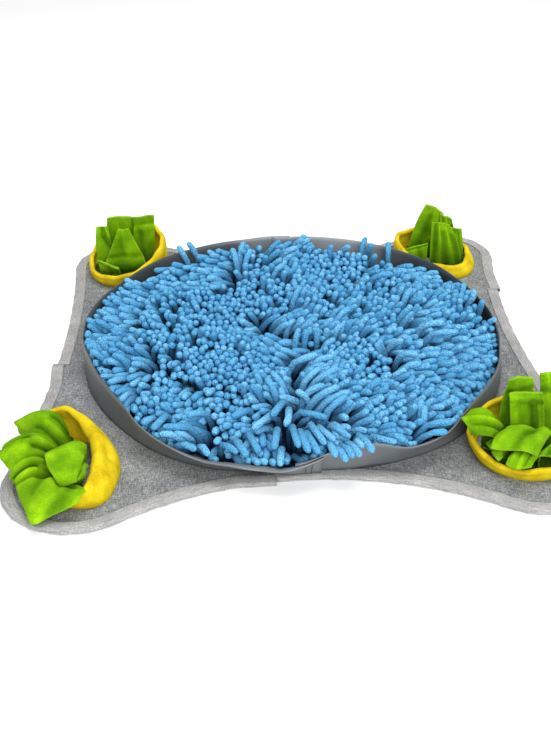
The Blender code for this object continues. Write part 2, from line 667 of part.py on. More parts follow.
def make_pockets():
    for name, pocket in POCKETS.items():
        sections = [pocket_section(pocket, 360 * i / POCKET_STATIONS) for i in range(POCKET_STATIONS)]
        bm = bmesh.new()
        add_band(bm, sections, True)
        add_object(name, bm, "yellow_fleece")


# ---- leaves ----

def leaf_place(leaf, share, across):
    """A place on a leaf's middle surface: share runs from root to cut edge, across from -1 to 1."""
    pocket = POCKETS[leaf.pocket]
    base = Vector((pocket.x, pocket.y, PANEL_THICKNESS + LEAF_LIFT))
    side = (across + 1) / 2
    root = Vector(leaf.root_a).lerp(Vector(leaf.root_b), side)
    bend = Vector(leaf.bend_a).lerp(Vector(leaf.bend_b), side) + Vector(leaf.bow) * (1 - across ** 2)
    edge = Vector(leaf.edge_a).lerp(Vector(leaf.edge_b), side) + Vector(leaf.tip) * (1 - abs(across))
    return base + (root * (1 - share) ** 2 + bend * 2 * share * (1 - share) + edge * share ** 2) * MM


def leaf_sections(leaf):
    """Closed sections across a leaf, its two faces half its thickness from the middle surface."""
    sections = []
    for i in range(LEAF_STEPS + 1):
        share = i / LEAF_STEPS
        upper = []
        lower = []
        for across in LEAF_ACROSS:
            along = (leaf_place(leaf, share + LEAF_PROBE, across)
                     - leaf_place(leaf, share - LEAF_PROBE, across))
            width = (leaf_place(leaf, share, across + LEAF_PROBE)
                     - leaf_place(leaf, share, across - LEAF_PROBE))
            normal = along.cross(width).normalized()
            place = leaf_place(leaf, share, across)
            upper.append(place + normal * LEAF_THICKNESS / 2)
            lower.append(place - normal * LEAF_THICKNESS / 2)
        sections.append(upper + lower[::-1])
    return sections


def make_leaves():
    for leaf in LEAVES:
        bm = bmesh.new()
        add_band(bm, leaf_sections(leaf), False, flat=True)
        add_object(leaf.name, bm, "green_fleece")


def main():
    for thing in list(bpy.data.objects):
        bpy.data.objects.remove(thing, do_unlink=True)
    add_finishes()
    points = outline()
    make_panel(points)
    make_bindings(points)
    make_walls()
    make_pile()
    make_pockets()
    make_leaves()


main()
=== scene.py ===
"""Snuffle mat, dressed: cloth panel, tape binding, tray wall, chenille noodles and fleece pockets.

All sizes are in metres and angles in degrees. The origin is at the centre of the tray, on the floor;
+X is the mat's right side, +Y its back. The tables of the outline, wall, pockets and leaves repeat the
solids'.
"""

import math
from collections import namedtuple

import bpy
import numpy as np
from mathutils import Matrix, Vector


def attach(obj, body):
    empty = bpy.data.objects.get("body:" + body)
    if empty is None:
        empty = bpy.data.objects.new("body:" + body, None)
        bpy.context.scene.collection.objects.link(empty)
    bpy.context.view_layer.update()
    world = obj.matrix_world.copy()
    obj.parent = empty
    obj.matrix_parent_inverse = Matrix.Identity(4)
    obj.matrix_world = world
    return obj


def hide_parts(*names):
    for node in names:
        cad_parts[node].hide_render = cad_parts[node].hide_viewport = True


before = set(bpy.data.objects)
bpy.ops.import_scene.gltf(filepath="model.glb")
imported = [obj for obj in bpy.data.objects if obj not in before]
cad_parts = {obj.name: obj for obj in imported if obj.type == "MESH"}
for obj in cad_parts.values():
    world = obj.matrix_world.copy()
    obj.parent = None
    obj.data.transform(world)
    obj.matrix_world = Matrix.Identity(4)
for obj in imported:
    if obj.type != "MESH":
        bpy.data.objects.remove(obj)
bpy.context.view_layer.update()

# ---- camera, floor and light ----
CAMERA_TARGET = (-0.0209, -0.0537, 0.0210)
CAMERA_AZIMUTH = -2.197
CAMERA_ELEVATION = 31.240
CAMERA_ROLL = -0.757
CAMERA_DISTANCE = 1.1344
CAMERA_LENS = 76.22
SENSOR_WIDTH = 36
FRAME_WIDTH = 551
FRAME_HEIGHT = 733
FLOOR_WIDTH = 8.0
FLOOR_BELOW = 0.0004
FLOOR_COLOUR = (0.86, 0.86, 0.86)
FLOOR_GLOW = 0.14               # keeps the far floor as pale as the near

Lamp = namedtuple("Lamp", "name x y z size watts")
LAMPS = (
    Lamp("front_softbox", 0.30, -2.00, 1.30, 1.4, 42),
    Lamp("top_softbox", 0.10, 0.10, 2.20, 1.6, 36),
)
WORLD_STRENGTH = 0.52

# ---- panel and binding, as in the solids ----
MM = 0.001
GAP = 0.0003
PANEL_THICKNESS = 0.0025
TAPE_THICKNESS = 0.0009
TAPE_LEG = 0.0118
PANEL_RAMP = 0.0040
LAP_PROUD = 0.0050
LAP_FADE = 0.0450

Lobe = namedtuple("Lobe", "x y radius")
Bay = namedtuple("Bay", "out_x out_y depth")
LOBES = (
    Lobe(x=-0.199, y=-0.208, radius=0.066),
    Lobe(x=0.200, y=-0.208, radius=0.064),
    Lobe(x=0.186, y=0.214, radius=0.060),
    Lobe(x=-0.181, y=0.212, radius=0.061),
)
BAYS = (
    Bay(out_x=0, out_y=-1, depth=0.212),
    Bay(out_x=1, out_y=0, depth=0.233),
    Bay(out_x=0, out_y=1, depth=0.229),
    Bay(out_x=-1, out_y=0, depth=0.236),
)
ARC_STEPS = 60
Strip = namedtuple("Strip", "name start_x start_y end_x end_y proud_start proud_end")
STRIPS = (
    Strip("binding_front_left", -0.240, -0.006, -0.026, -0.212, 1, 1),
    Strip("binding_front_right", -0.026, -0.212, 0.238, 0.127, 0, 0),
    Strip("binding_back_right", 0.238, 0.127, -0.012, 0.229, 0.6, 1),
    Strip("binding_back_left", -0.012, 0.229, -0.240, -0.006, 0, 0),
)

# ---- standing wall, as in the solids ----
WALL_WIDTH = 0.033
WALL_THICKNESS = 0.0020
WALL_LAP_GAP = 0.0005
WALL_STEP = 1.25
WALL_FLEX = 0.25                # the lean grows by this share from the wall's foot to its brim
TAPE_CROSSING = 15
TAPE_CROSSING_END = 23
LAP_ANGLE = 7

WallRow = namedtuple("WallRow", "azimuth foot lean")
WALL_ROWS = [WallRow(*row) for row in (
    (-180, 0.2105, 0), (-165, 0.2090, -5), (-150, 0.2085, -3), (-141, 0.2090, 3), (-132, 0.2110, 18),
    (-121, 0.2110, 36), (-110, 0.2090, 46), (-99, 0.2060, 52), (-91, 0.2035, 44), (-84, 0.2045, 26),
    (-75, 0.2075, 20), (-66, 0.2080, 36), (-58, 0.2100, 33), (-50, 0.2110, 16), (-42, 0.2100, 6),
    (-28, 0.2090, 0), (-8, 0.2070, -6), (20, 0.2075, -8), (42, 0.2090, -2), (70, 0.2090, 4),
    (92, 0.2090, 3), (117, 0.2090, 7), (130, 0.2090, 9), (146, 0.2095, -1), (164, 0.2110, 2),
)]
WallHalf = namedtuple("WallHalf", "name start end lapped_out")
WALL_HALVES = (
    WallHalf("wall_right", -93.0, 93.5, 0),
    WallHalf("wall_left", 88.0, 273.3, 1),
)

# ---- noodles ----
NOODLE_RADIUS = 0.00322
NOODLE_LENGTH = 0.0420
NOODLE_SPREAD = 0.0040          # lengths differ by up to this much
NOODLE_PITCH = 0.0087
NOODLE_ROOTS = 0.197            # radius of the field that the noodles are sewn to
ROOT_JITTER = 0.0022
ROOT_HEIGHT = 0.0040
BACK_EXTRA = 0.0075             # the pile stands higher along the back of the wall
BACK_FROM = 0.125
BACK_DEPTH = 0.045
BEADS = 11                      # places by which each noodle is bent

# How the noodles' visible ends lie: the column and row of the frame where an end shows, and in degrees the
# way it turns across the frame, 0 to the right and 90 up, and its angle off the line of sight.
LEAN_HEIGHT = 0.034
Lean = namedtuple("Lean", "column row turn off")
LEANS = [Lean(*row) for row in (
    (202, 296, 90, 12), (158, 306, 140, 35), (140, 283, 160, 50), (130, 297, 165, 50), (108, 297, 150, 60),
    (97, 317, 165, 65), (113, 312, 160, 65), (113, 329, 175, 75), (108, 340, 178, 75), (133, 342, 100, 40),
    (91, 346, 125, 75), (87, 333, 180, 60), (124, 357, 155, 60), (149, 341, 90, 15), (174, 332, 100, 25),
    (160, 331, 140, 35), (211, 279, 175, 60), (204, 272, 175, 55), (172, 279, 170, 45), (156, 282, 180, 30),
    (199, 251, 120, 60), (213, 254, 90, 15), (211, 263, 175, 60), (230, 264, 155, 55), (253, 263, 90, 18),
    (262, 248, 60, 25), (270, 247, 20, 65), (289, 251, 35, 68), (294, 257, 20, 68), (278, 268, 50, 65),
    (309, 258, 90, 12), (330, 270, 90, 12), (345, 285, 90, 12), (261, 274, 90, 15), (222, 302, 90, 10),
    (256, 279, 80, 30), (267, 283, 85, 38), (297, 297, 65, 68), (306, 297, 70, 60), (296, 308, 25, 60),
    (293, 324, 45, 60), (284, 317, 40, 50), (270, 305, 90, 20), (318, 302, 90, 15), (341, 297, 40, 50),
    (342, 313, 45, 58), (328, 324, 15, 50), (342, 327, 45, 58), (287, 342, 170, 60), (267, 350, 145, 48),
    (250, 329, 195, 58), (233, 338, 120, 30), (351, 257, 90, 18), (364, 250, 78, 45), (388, 255, 80, 45),
    (397, 252, 30, 65), (394, 261, 25, 62), (404, 265, 0, 60), (427, 268, 0, 60), (438, 273, 10, 50),
    (450, 282, 0, 72), (447, 287, 350, 68), (463, 291, 75, 65), (471, 311, 90, 25), (482, 324, 5, 60),
    (468, 322, 50, 40), (379, 276, 10, 70), (400, 271, 10, 45), (389, 281, 90, 20), (402, 291, 35, 55),
    (411, 294, 60, 68), (438, 293, 45, 52), (424, 307, 15, 60), (393, 315, 60, 50), (368, 297, 70, 30),
    (353, 302, 60, 48), (359, 317, 15, 62), (402, 335, 20, 58), (434, 325, 10, 72), (440, 333, 8, 72),
    (418, 342, 20, 30), (451, 341, 0, 55), (478, 331, 5, 60), (484, 338, 355, 66), (473, 346, 350, 55),
    (407, 355, 3, 72), (384, 350, 100, 35), (368, 339, 90, 22), (351, 346, 90, 14), (440, 359, 10, 60),
    (97, 354, 135, 72), (116, 356, 155, 64), (130, 351, 150, 58), (106, 365, 180, 68), (138, 366, 200, 55),
    (109, 382, 235, 54), (118, 387, 215, 60), (124, 395, 210, 50), (149, 372, 90, 10), (142, 379, 210, 38),
    (160, 369, 265, 25), (156, 385, 90, 10), (131, 404, 330, 30), (140, 409, 270, 20), (143, 396, 255, 35),
    (147, 400, 90, 35), (155, 402, 85, 42), (149, 415, 225, 54), (162, 417, 235, 54), (167, 405, 200, 50),
    (171, 385, 240, 38), (180, 386, 240, 54), (189, 395, 230, 54), (201, 399, 255, 46), (208, 399, 90, 22),
    (200, 413, 190, 72), (194, 422, 185, 68), (174, 426, 180, 72), (166, 434, 183, 72), (193, 434, 190, 62),
    (189, 444, 335, 68), (203, 447, 300, 46), (214, 448, 272, 46), (226, 442, 290, 46), (227, 455, 280, 46),
    (221, 416, 90, 12), (221, 431, 340, 40), (229, 412, 80, 30), (200, 370, 90, 10), (230, 375, 90, 10),
    (250, 360, 90, 12), (245, 390, 90, 12), (210, 345, 90, 12), (270, 366, 90, 18), (281, 363, 200, 60),
    (272, 387, 118, 68), (278, 382, 125, 70), (261, 395, 180, 55), (271, 405, 90, 10), (296, 396, 145, 65),
    (280, 406, 230, 54), (289, 412, 265, 46), (263, 420, 215, 68), (238, 413, 205, 62), (230, 408, 265, 42),
    (235, 427, 195, 62), (252, 416, 90, 15), (230, 447, 322, 54), (238, 439, 300, 46), (252, 438, 298, 46),
    (241, 459, 270, 30), (255, 463, 275, 46), (263, 458, 265, 46), (277, 434, 262, 46), (279, 456, 268, 46),
    (300, 436, 298, 46), (311, 442, 305, 46), (317, 432, 308, 46), (330, 435, 310, 46), (342, 429, 320, 54),
    (311, 414, 350, 74), (343, 412, 90, 15), (304, 359, 22, 72), (322, 361, 22, 72), (311, 376, 45, 68),
    (322, 376, 35, 70), (318, 393, 38, 72), (333, 398, 33, 74), (338, 406, 42, 70), (296, 378, 90, 18),
    (347, 391, 45, 62), (362, 366, 90, 18), (377, 363, 90, 12), (382, 387, 12, 62), (359, 392, 0, 48),
    (368, 397, 30, 58), (411, 366, 12, 74), (407, 373, 10, 70), (402, 387, 30, 62), (422, 394, 50, 62),
    (432, 399, 35, 66), (407, 398, 15, 48), (412, 407, 35, 58), (389, 406, 90, 18), (373, 411, 15, 42),
    (395, 414, 90, 18), (421, 417, 88, 70), (431, 414, 25, 58), (446, 414, 12, 68), (440, 424, 6, 74),
    (434, 433, 2, 74), (431, 441, 357, 70), (418, 437, 330, 54), (411, 443, 355, 68), (397, 436, 332, 68),
    (381, 437, 338, 72), (399, 424, 348, 62), (411, 425, 10, 40), (379, 427, 348, 58), (363, 427, 355, 48),
    (370, 419, 60, 50), (352, 417, 300, 32), (348, 433, 318, 54), (364, 442, 298, 46), (357, 445, 310, 46),
    (451, 367, 355, 70), (462, 364, 348, 58), (447, 359, 10, 58), (479, 365, 350, 58), (484, 371, 325, 54),
    (468, 378, 340, 58), (457, 384, 315, 54), (437, 388, 350, 28), (421, 378, 90, 12), (431, 375, 25, 40),
    (462, 395, 355, 50), (471, 405, 325, 54), (462, 408, 330, 54), (457, 418, 0, 58), (460, 432, 345, 58),
    (330, 250, 90, 12), (342, 262, 90, 12), (360, 272, 90, 18), (375, 262, 60, 22), (386, 270, 40, 28),
    (362, 285, 80, 25), (378, 296, 60, 28), (340, 280, 90, 16), (390, 303, 60, 32), (412, 280, 40, 38),
    (420, 290, 45, 42), (330, 300, 90, 14), (350, 330, 70, 22), (372, 325, 60, 30), (388, 330, 40, 38),
    (290, 290, 80, 25), (275, 300, 90, 22), (240, 300, 90, 12), (225, 320, 90, 12), (215, 290, 90, 14),
    (190, 300, 90, 20), (180, 315, 90, 18), (240, 350, 90, 12), (225, 355, 90, 10), (190, 365, 90, 12),
    (175, 355, 90, 16),
)]

# Long noodles that stand or lie clear of the rest: the column and row of the frame where each one comes into
# view, those of its tip, and the heights of both in millimetres.
Rod = namedtuple("Rod", "column row end_column end_row up end_up")
RODS = [Rod(*row) for row in (
    (302, 386, 320, 368, 30, 38), (307, 389, 338, 369, 30, 40), (304, 403, 329, 386, 28, 40),
    (309, 405, 341, 386, 28, 40), (314, 413, 350, 391, 28, 40), (324, 417, 347, 396, 30, 41),
    (293, 412, 327, 418, 34, 38), (289, 367, 318, 356, 30, 40), (307, 366, 333, 356, 30, 40),
    (278, 403, 266, 378, 26, 44), (287, 397, 270, 374, 26, 44), (303, 403, 288, 392, 30, 40),
    (287, 399, 272, 416, 36, 40), (276, 412, 253, 429, 34, 36), (289, 405, 288, 427, 38, 36),
    (251, 408, 232, 417, 32, 34), (247, 427, 260, 452, 36, 30), (233, 433, 247, 456, 36, 30),
    (222, 439, 238, 452, 34, 30), (278, 423, 274, 449, 38, 32), (280, 445, 279, 466, 34, 28),
    (294, 355, 300, 328, 18, 46), (304, 355, 307, 329, 18, 46), (316, 353, 319, 328, 18, 46),
    (325, 346, 327, 329, 22, 44), (169, 411, 153, 429, 34, 32), (157, 411, 143, 423, 34, 32),
    (209, 412, 187, 416, 34, 38), (195, 427, 162, 427, 34, 34), (175, 433, 156, 434, 34, 32),
    (180, 439, 199, 448, 34, 32), (199, 440, 208, 455, 36, 30), (238, 272, 232, 249, 26, 44),
    (240, 268, 239, 245, 26, 46), (241, 268, 247, 242, 26, 48), (244, 268, 251, 249, 28, 46),
    (280, 257, 297, 247, 30, 40), (297, 247, 309, 239, 34, 42), (272, 276, 284, 265, 30, 40),
    (292, 307, 301, 287, 28, 42), (286, 330, 294, 320, 30, 40), (333, 323, 349, 308, 30, 40),
    (334, 335, 343, 325, 30, 40), (371, 278, 393, 274, 34, 40), (361, 255, 366, 238, 30, 46),
    (388, 256, 388, 242, 32, 46), (461, 300, 463, 283, 28, 44), (402, 306, 412, 289, 28, 42),
    (418, 327, 444, 323, 34, 40), (427, 335, 457, 332, 34, 40), (398, 355, 418, 355, 34, 40),
    (399, 369, 421, 364, 34, 40), (423, 426, 454, 422, 32, 36), (422, 434, 447, 433, 30, 34),
    (367, 433, 394, 444, 36, 34), (388, 432, 404, 441, 34, 34), (420, 433, 422, 406, 22, 44),
    (101, 359, 91, 342, 28, 38), (127, 361, 112, 355, 32, 38),
)]

# the noodles that lie out over the brim at the front, in the same way
OVERHANGS = [Rod(*row) for row in (
    (290, 421, 300, 447, 40, 40), (296, 424, 308, 452, 41, 39), (302, 427, 317, 453, 42, 38),
    (307, 419, 325, 444, 43, 41), (317, 423, 334, 443, 42, 40), (328, 434, 340, 456, 41, 36),
    (334, 438, 348, 461, 41, 34), (329, 421, 350, 438, 42, 40), (340, 439, 351, 460, 40, 35),
    (345, 436, 360, 457, 41, 36), (356, 430, 371, 454, 42, 37), (357, 441, 363, 451, 39, 38),
)]

# ---- pockets, as in the solids ----
POCKET_THICKNESS = 0.0020
POCKET_STATIONS = 96
RIM_ROLL = 0.0024
# The rim is an ellipse shifted and turned against the foot. high_side is where it stands highest, by swing
# over the mean height. corner swells the foot towards corner_side.
Pocket = namedtuple("Pocket", "x y foot_x foot_y corner corner_side rim_x rim_y shift_x shift_y turn "
                    "height swing high_side bulge")
POCKETS = {
    "front_left": Pocket(-0.203, -0.192, 0.039, 0.046, 0.20, -57, 0.030, 0.055, -0.012, -0.003, 12,
                         0.023, 0.014, 52, 0.0060),
    "front_right": Pocket(0.196, -0.181, 0.043, 0.046, 0.00, 0, 0.047, 0.049, -0.002, -0.002, 0,
                          0.020, 0.006, 80, 0.0040),
    "back_right": Pocket(0.178, 0.200, 0.043, 0.043, 0.10, -53, 0.039, 0.044, -0.005, -0.001, 3,
                         0.021, 0.008, 157, 0.0048),
    "back_left": Pocket(-0.181, 0.203, 0.041, 0.042, 0.00, 0, 0.040, 0.047, 0.000, -0.001, 0,
                        0.028, 0.016, 41, 0.0048),
}
CORNER_SPREAD = 10              # the higher, the narrower the swollen corner of a foot

# ---- leaves, as in the solids ----
LEAF_THICKNESS = 0.0018
LEAF_LIFT = 0.0014
# A leaf is a curved sheet from its sewn root over a bend to its cut edge. Each of the three lines has a left
# and a right end; bow lifts the middle of the bend, tip pulls out the middle of the edge to a corner. Places
# are in millimetres from the pocket's centre: to the right, to the back and up.
# Over that plain curve the cloth has folds, each from a share of the way to the edge and a place across
# (-1 to 1) to another such place, with the ridge's height and width in millimetres; below 0 it is a trough.
Leaf = namedtuple("Leaf", "name root bend edge bow tip lies_out folds",
                  defaults=((0, 0, 0), (0, 0, 0), False, ()))
LEAVES = (
    Leaf("back_left_a", ((4, 12, 0), (29, 12, 0)), ((8, 12, 30), (33, 12, 30)),
         ((10, 13, 61), (33, 14, 61)), bow=(0, -2, 0),
         folds=((0.80, -1.0, 0.84, 1.0, 1.4, 4), (0.10, 0.2, 0.75, -0.3, -1.2, 5))),
    Leaf("back_left_b", ((-24, 18, 0), (2, 18, 0)), ((-24, 19, 30), (8, 19, 30)),
         ((-21, 19, 58), (12, 20, 58)),
         folds=((0.20, 0.1, 0.95, -0.3, 1.4, 4), (0.55, 0.5, 0.95, 0.9, -1.6, 4))),
    Leaf("back_left_c", ((-33, -3, 0), (-16, 0, 0)), ((-36, 2, 26), (-18, 4, 30)),
         ((-34, 12, 49), (-20, 12, 51)), bow=(0, -3, 0),
         folds=((0.55, 0.9, 0.80, 0.2, -2.2, 5), (0.80, 0.2, 1.00, 0.1, -2.0, 4),
                (0.30, -0.4, 1.00, -0.7, 1.2, 4))),
    Leaf("back_left_d", ((-30, -12, 0), (26, -12, 0)), ((-19, -13, 28), (19, -13, 28)),
         ((-7, -3, 53), (4, -4, 53)),
         folds=((0.34, -1.0, 0.38, 1.0, 2.4, 7), (0.16, -0.8, 0.14, 0.8, -2.2, 8),
                (0.50, -0.1, 0.95, -0.5, -0.9, 3))),
    Leaf("back_left_e", ((-28, -20, 0), (-7, -22, 0)), ((-31, -20, 20), (-7, -30, 22)),
         ((-31, -24, 26), (-7, -39, 19)),
         folds=((0.30, 0.3, 0.90, -0.2, -1.2, 4),)),
    Leaf("back_right_a", ((-30, 12, 0), (6, 12, 0)), ((-33, 12, 28), (8, 12, 30)),
         ((-12, 16, 66), (8, 12, 57)),
         folds=((0.45, 0.2, 0.98, 0.1, 1.8, 4), (0.70, 0.6, 0.95, 0.9, -1.4, 3),
                (0.20, -0.5, 0.85, -0.2, -1.4, 5))),
    Leaf("back_right_b", ((0, 6, 0), (25, 5, 0)), ((4, 7, 30), (24, 6, 30)),
         ((4, 8, 56), (16, 5, 52)),
         folds=((0.30, 0.0, 0.95, 0.2, 1.5, 4), (0.50, -0.7, 0.95, -0.4, -1.6, 3),
                (0.78, -0.5, 0.83, 0.9, -1.4, 3))),
    Leaf("back_right_c", ((11, -5, 0), (31, -4, 0)), ((15, -3, 26), (30, -3, 28)),
         ((15, -1, 44), (27, -2, 41)),
         folds=((0.20, -0.3, 0.95, -0.4, -1.2, 3), (0.20, 0.4, 0.9, 0.3, 1.0, 3))),
    Leaf("back_right_d", ((-10, -17, 0), (27, -16, 0)), ((-11, -17, 30), (24, -17, 30)),
         ((-8, -5, 53), (12, -7, 50)), bow=(0, -2, 0),
         folds=((0.12, -0.75, 0.95, -0.55, -2.0, 3), (0.12, -0.35, 0.95, -0.2, 1.4, 3),
                (0.12, 0.05, 0.80, 0.1, -1.8, 3), (0.12, 0.5, 0.95, 0.45, 1.6, 4),
                (0.12, 0.85, 0.75, 0.8, -1.4, 3))),
    Leaf("back_right_e", ((-37, -14, 0), (-13, -16, 0)), ((-39, -14, 14), (-14, -16, 16)),
         ((-37, -13, 24), (-13, -14, 31)),
         folds=((0.15, 0.7, 0.95, 0.2, -1.6, 4), (0.85, -0.9, 0.90, 0.9, 1.2, 3))),
    Leaf("front_left_a", ((-3, 27, 0), (-3, 10, 0)), ((-7, 48, 60), (-24, 6, 50)),
         ((-55, 48, 22), (-51, 38, 17)), bow=(0, 0, 4), lies_out=True,
         folds=((0.18, -0.7, 0.50, -0.5, -1.6, 4), (0.18, 0.1, 0.55, 0.15, 1.8, 4),
                (0.20, 0.7, 0.70, 0.6, -2.0, 4), (0.60, -0.2, 0.98, -0.5, 0.9, 5))),
    Leaf("front_left_b", ((-3, 5, 0), (-4, -7, 0)), ((-16, 2, 60), (-24, -18, 56)),
         ((-56, 5, 31), (-51, -19, 20)), bow=(0, 0, 6), tip=(-7, 0, 4), lies_out=True,
         folds=((0.30, 0.1, 0.62, 0.0, 2.4, 5), (0.30, 0.6, 0.60, 0.5, -2.6, 5),
                (0.62, 0.0, 0.72, -0.5, -2.4, 4), (0.72, -0.5, 0.96, -0.1, -1.8, 3),
                (0.66, 0.6, 0.98, 0.3, 2.0, 4))),
    Leaf("front_left_c", ((3, -6, 0), (3, -26, 0)), ((32, -8, 58), (32, -50, 44)),
         ((-19, -28, 41), (-8, -53, 31)), lies_out=True,
         folds=((0.30, -0.4, 0.62, 0.95, -2.2, 4), (0.34, 0.2, 0.72, 0.9, 1.4, 3),
                (0.45, -0.9, 0.98, -0.6, 1.2, 4))),
    Leaf("front_left_d", ((-12, -11, 0), (-12, -24, 0)), ((-24, -15, 46), (-28, -32, 38)),
         ((-45, -17, 22), (-41, -34, 10)), bow=(0, 0, 2), tip=(-9, 0, -3), lies_out=True,
         folds=((0.45, 0.0, 0.95, 0.1, -3.0, 4), (0.50, 0.6, 0.90, 0.6, 1.8, 4),
                (0.40, -0.6, 0.90, -0.5, 1.6, 4))),
    Leaf("front_left_e", ((-14, -28, 0), (2, -30, 0)), ((-12, -53, 49), (20, -56, 41)),
         ((-41, -46, 14), (5, -66, 14)), tip=(-8, -22, -10), lies_out=True,
         folds=((0.42, -0.6, 0.98, 0.0, 2.2, 6), (0.35, 0.0, 0.55, 0.9, -1.8, 4),
                (0.60, 0.5, 0.95, 0.3, -1.0, 7), (0.45, -0.9, 0.85, -0.7, -1.2, 4))),
    Leaf("front_right_a", ((-24, 12, 0), (8, 12, 0)), ((-25, 12, 30), (9, 12, 34)),
         ((-18, 12, 68), (3, 12, 67)), bow=(0, -2, 0),
         folds=((0.20, -0.4, 0.98, -0.2, 1.8, 5), (0.85, -0.9, 0.90, 0.9, -1.4, 3))),
    Leaf("front_right_b", ((-21, 8, 0), (-21, -4, 0)), ((-26, 2, 52), (-24, -28, 47)),
         ((-52, -3, 46), (-58, -20, 38)), tip=(-6, 0, 0), lies_out=True,
         folds=((0.35, 0.0, 0.98, 0.1, 2.6, 3), (0.35, 0.55, 0.90, 0.6, -1.8, 4))),
    Leaf("front_right_c", ((-14, -13, 0), (14, -14, 0)), ((-22, -18, 62), (16, -24, 66)),
         ((-38, -40, 30), (-8, -51, 31)), lies_out=True,
         folds=((0.50, -0.9, 0.60, 0.9, 1.2, 5), (0.60, 0.2, 0.98, 0.0, -1.4, 5),
                (0.30, 0.6, 0.70, 0.4, -1.8, 5))),
    Leaf("front_right_d", ((14, 12, 0), (33, 10, 0)), ((13, 12, 36), (35, 9, 38)),
         ((9, 13, 71), (33, 11, 72)),
         folds=((0.20, 0.0, 0.98, -0.3, 1.6, 5), (0.80, -0.9, 0.72, 0.9, -1.6, 4))),
    Leaf("front_right_e", ((19, -16, 0), (33, -13, 0)), ((15, -36, 44), (37, -30, 44)),
         ((-2, -50, 27), (30, -50, 26)), lies_out=True,
         folds=((0.45, -0.6, 0.98, -0.5, -2.0, 4), (0.45, 0.3, 0.98, 0.3, 2.0, 5))),
    Leaf("front_right_f", ((-15, -8, 0), (13, -8, 0)), ((-17, -9, 30), (14, -8, 30)),
         ((-20, -3, 61), (8, -3, 63)), bow=(0, -2, 0),
         folds=((0.15, 0.45, 0.85, 0.35, -2.6, 4), (0.90, -0.8, 0.86, 0.9, -1.6, 2),
                (0.15, -0.5, 0.95, -0.7, 1.6, 5))),
    Leaf("front_right_g", ((-10, -22, 0), (4, -24, 0)), ((-16, -34, 40), (2, -36, 40)),
         ((-28, -51, 20), (-11, -55, 20)), tip=(-2, -4, -2), lies_out=True,
         folds=((0.50, 0.0, 0.98, 0.0, 1.6, 4), (0.60, 0.7, 0.95, 0.5, -1.2, 3))),
    Leaf("front_right_h", ((-19, -14, 0), (-18, -22, 0)), ((-27, -16, 36), (-26, -30, 34)),
         ((-41, -17, 20), (-36, -42, 21)), lies_out=True,
         folds=((0.40, 0.1, 0.98, 0.0, -2.0, 4),)),
)


# ---- small helpers ----

def smooth(share):
    """An eased step from 0 to 1."""
    share = min(max(share, 0.0), 1.0)
    return share * share * (3 - 2 * share)


def turned(degrees):
    """An angle brought to the range from -180 to 180."""
    return (degrees + 180) % 360 - 180


def bump(away, width):
    """A rounded bump, 1 high, by the distance from its middle."""
    return math.exp(-(away / width) ** 2)


def heading(degrees):
    """The unit step in a direction on the floor, from the mat's right side round to its back."""
    return Vector((math.cos(math.radians(degrees)), math.sin(math.radians(degrees))))


def curve(start, bend, end, share):
    """A place on the plain curve from start to end that its bend draws to itself."""
    return start * (1 - share) ** 2 + bend * 2 * share * (1 - share) + end * share ** 2


def curve_way(start, bend, end, share):
    """The direction of that curve."""
    return ((bend - start) * (1 - share) + (end - bend) * share).normalized()


def ripple(place, *waves):
    """A sum of waves; each has its height, its radians for each unit of the place, and its phase."""
    return sum(height * math.sin(place * turns + phase) for height, turns, phase in waves)


def pick(piece):
    bpy.ops.object.select_all(action="DESELECT")
    piece.select_set(True)
    bpy.context.view_layer.objects.active = piece


def finish_piece(piece, material, slot, *nodes):
    """Give a piece its material, let it ride on the mat and stand for its solids; its slot is not used."""
    piece.data.materials.clear()
    piece.data.materials.append(material)
    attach(piece, "root")
    if nodes:
        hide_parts(*nodes)


def apply_modifier(piece, kind, **settings):
    pick(piece)
    modifier = piece.modifiers.new(kind.title(), kind)
    for key, value in settings.items():
        setattr(modifier, key, value)
    bpy.ops.object.modifier_apply(modifier=modifier.name)


def mark_points(piece, name, values):
    """Give each point of a piece a number that its material reads by name."""
    marks = piece.data.attributes.new(name, "FLOAT", "POINT")
    marks.data.foreach_set("value", np.asarray(values, dtype=np.float32))


def face_outwards(piece):
    pick(piece)
    bpy.ops.object.mode_set(mode="EDIT")
    bpy.ops.mesh.select_all(action="SELECT")
    bpy.ops.mesh.normals_make_consistent(inside=False)
    bpy.ops.object.mode_set(mode="OBJECT")


def add_mesh(name, points, faces, uvs=None):
    """A mesh object from points and faces; uvs hold one pair for each corner of each face."""
    mesh = bpy.data.meshes.new(name)
    mesh.from_pydata([tuple(point) for point in points], [], faces)
    if uvs is not None:
        layer = mesh.uv_layers.new(name="cloth")
        layer.data.foreach_set("uv", np.asarray(uvs, dtype=np.float32).ravel())
    mesh.validate()
    mesh.shade_smooth()
    piece = bpy.data.objects.new(name, mesh)
    bpy.context.collection.objects.link(piece)
    return piece


def run_lengths(points):
    """How far along a row of places each one lies."""
    lengths = [0.0]
    for near, far in zip(points, points[1:]):
        lengths.append(lengths[-1] + (far - near).length)
    return lengths


def add_cloth(name, rows, closed=False):
    """A sheet from rows of points; its UV map holds the lengths along and across it, in metres."""
    return add_grid(name, rows, closed, run_lengths(rows[len(rows) // 2]), len(rows[0]) // 2)


def add_band(name, sections, closed=False):
    """A tube from a row of closed sections, capped at both ends unless the row is closed."""
    piece = add_grid(name, sections, closed, run_lengths(sections[0] + sections[0][:1]), 0)
    face_outwards(piece)
    return piece


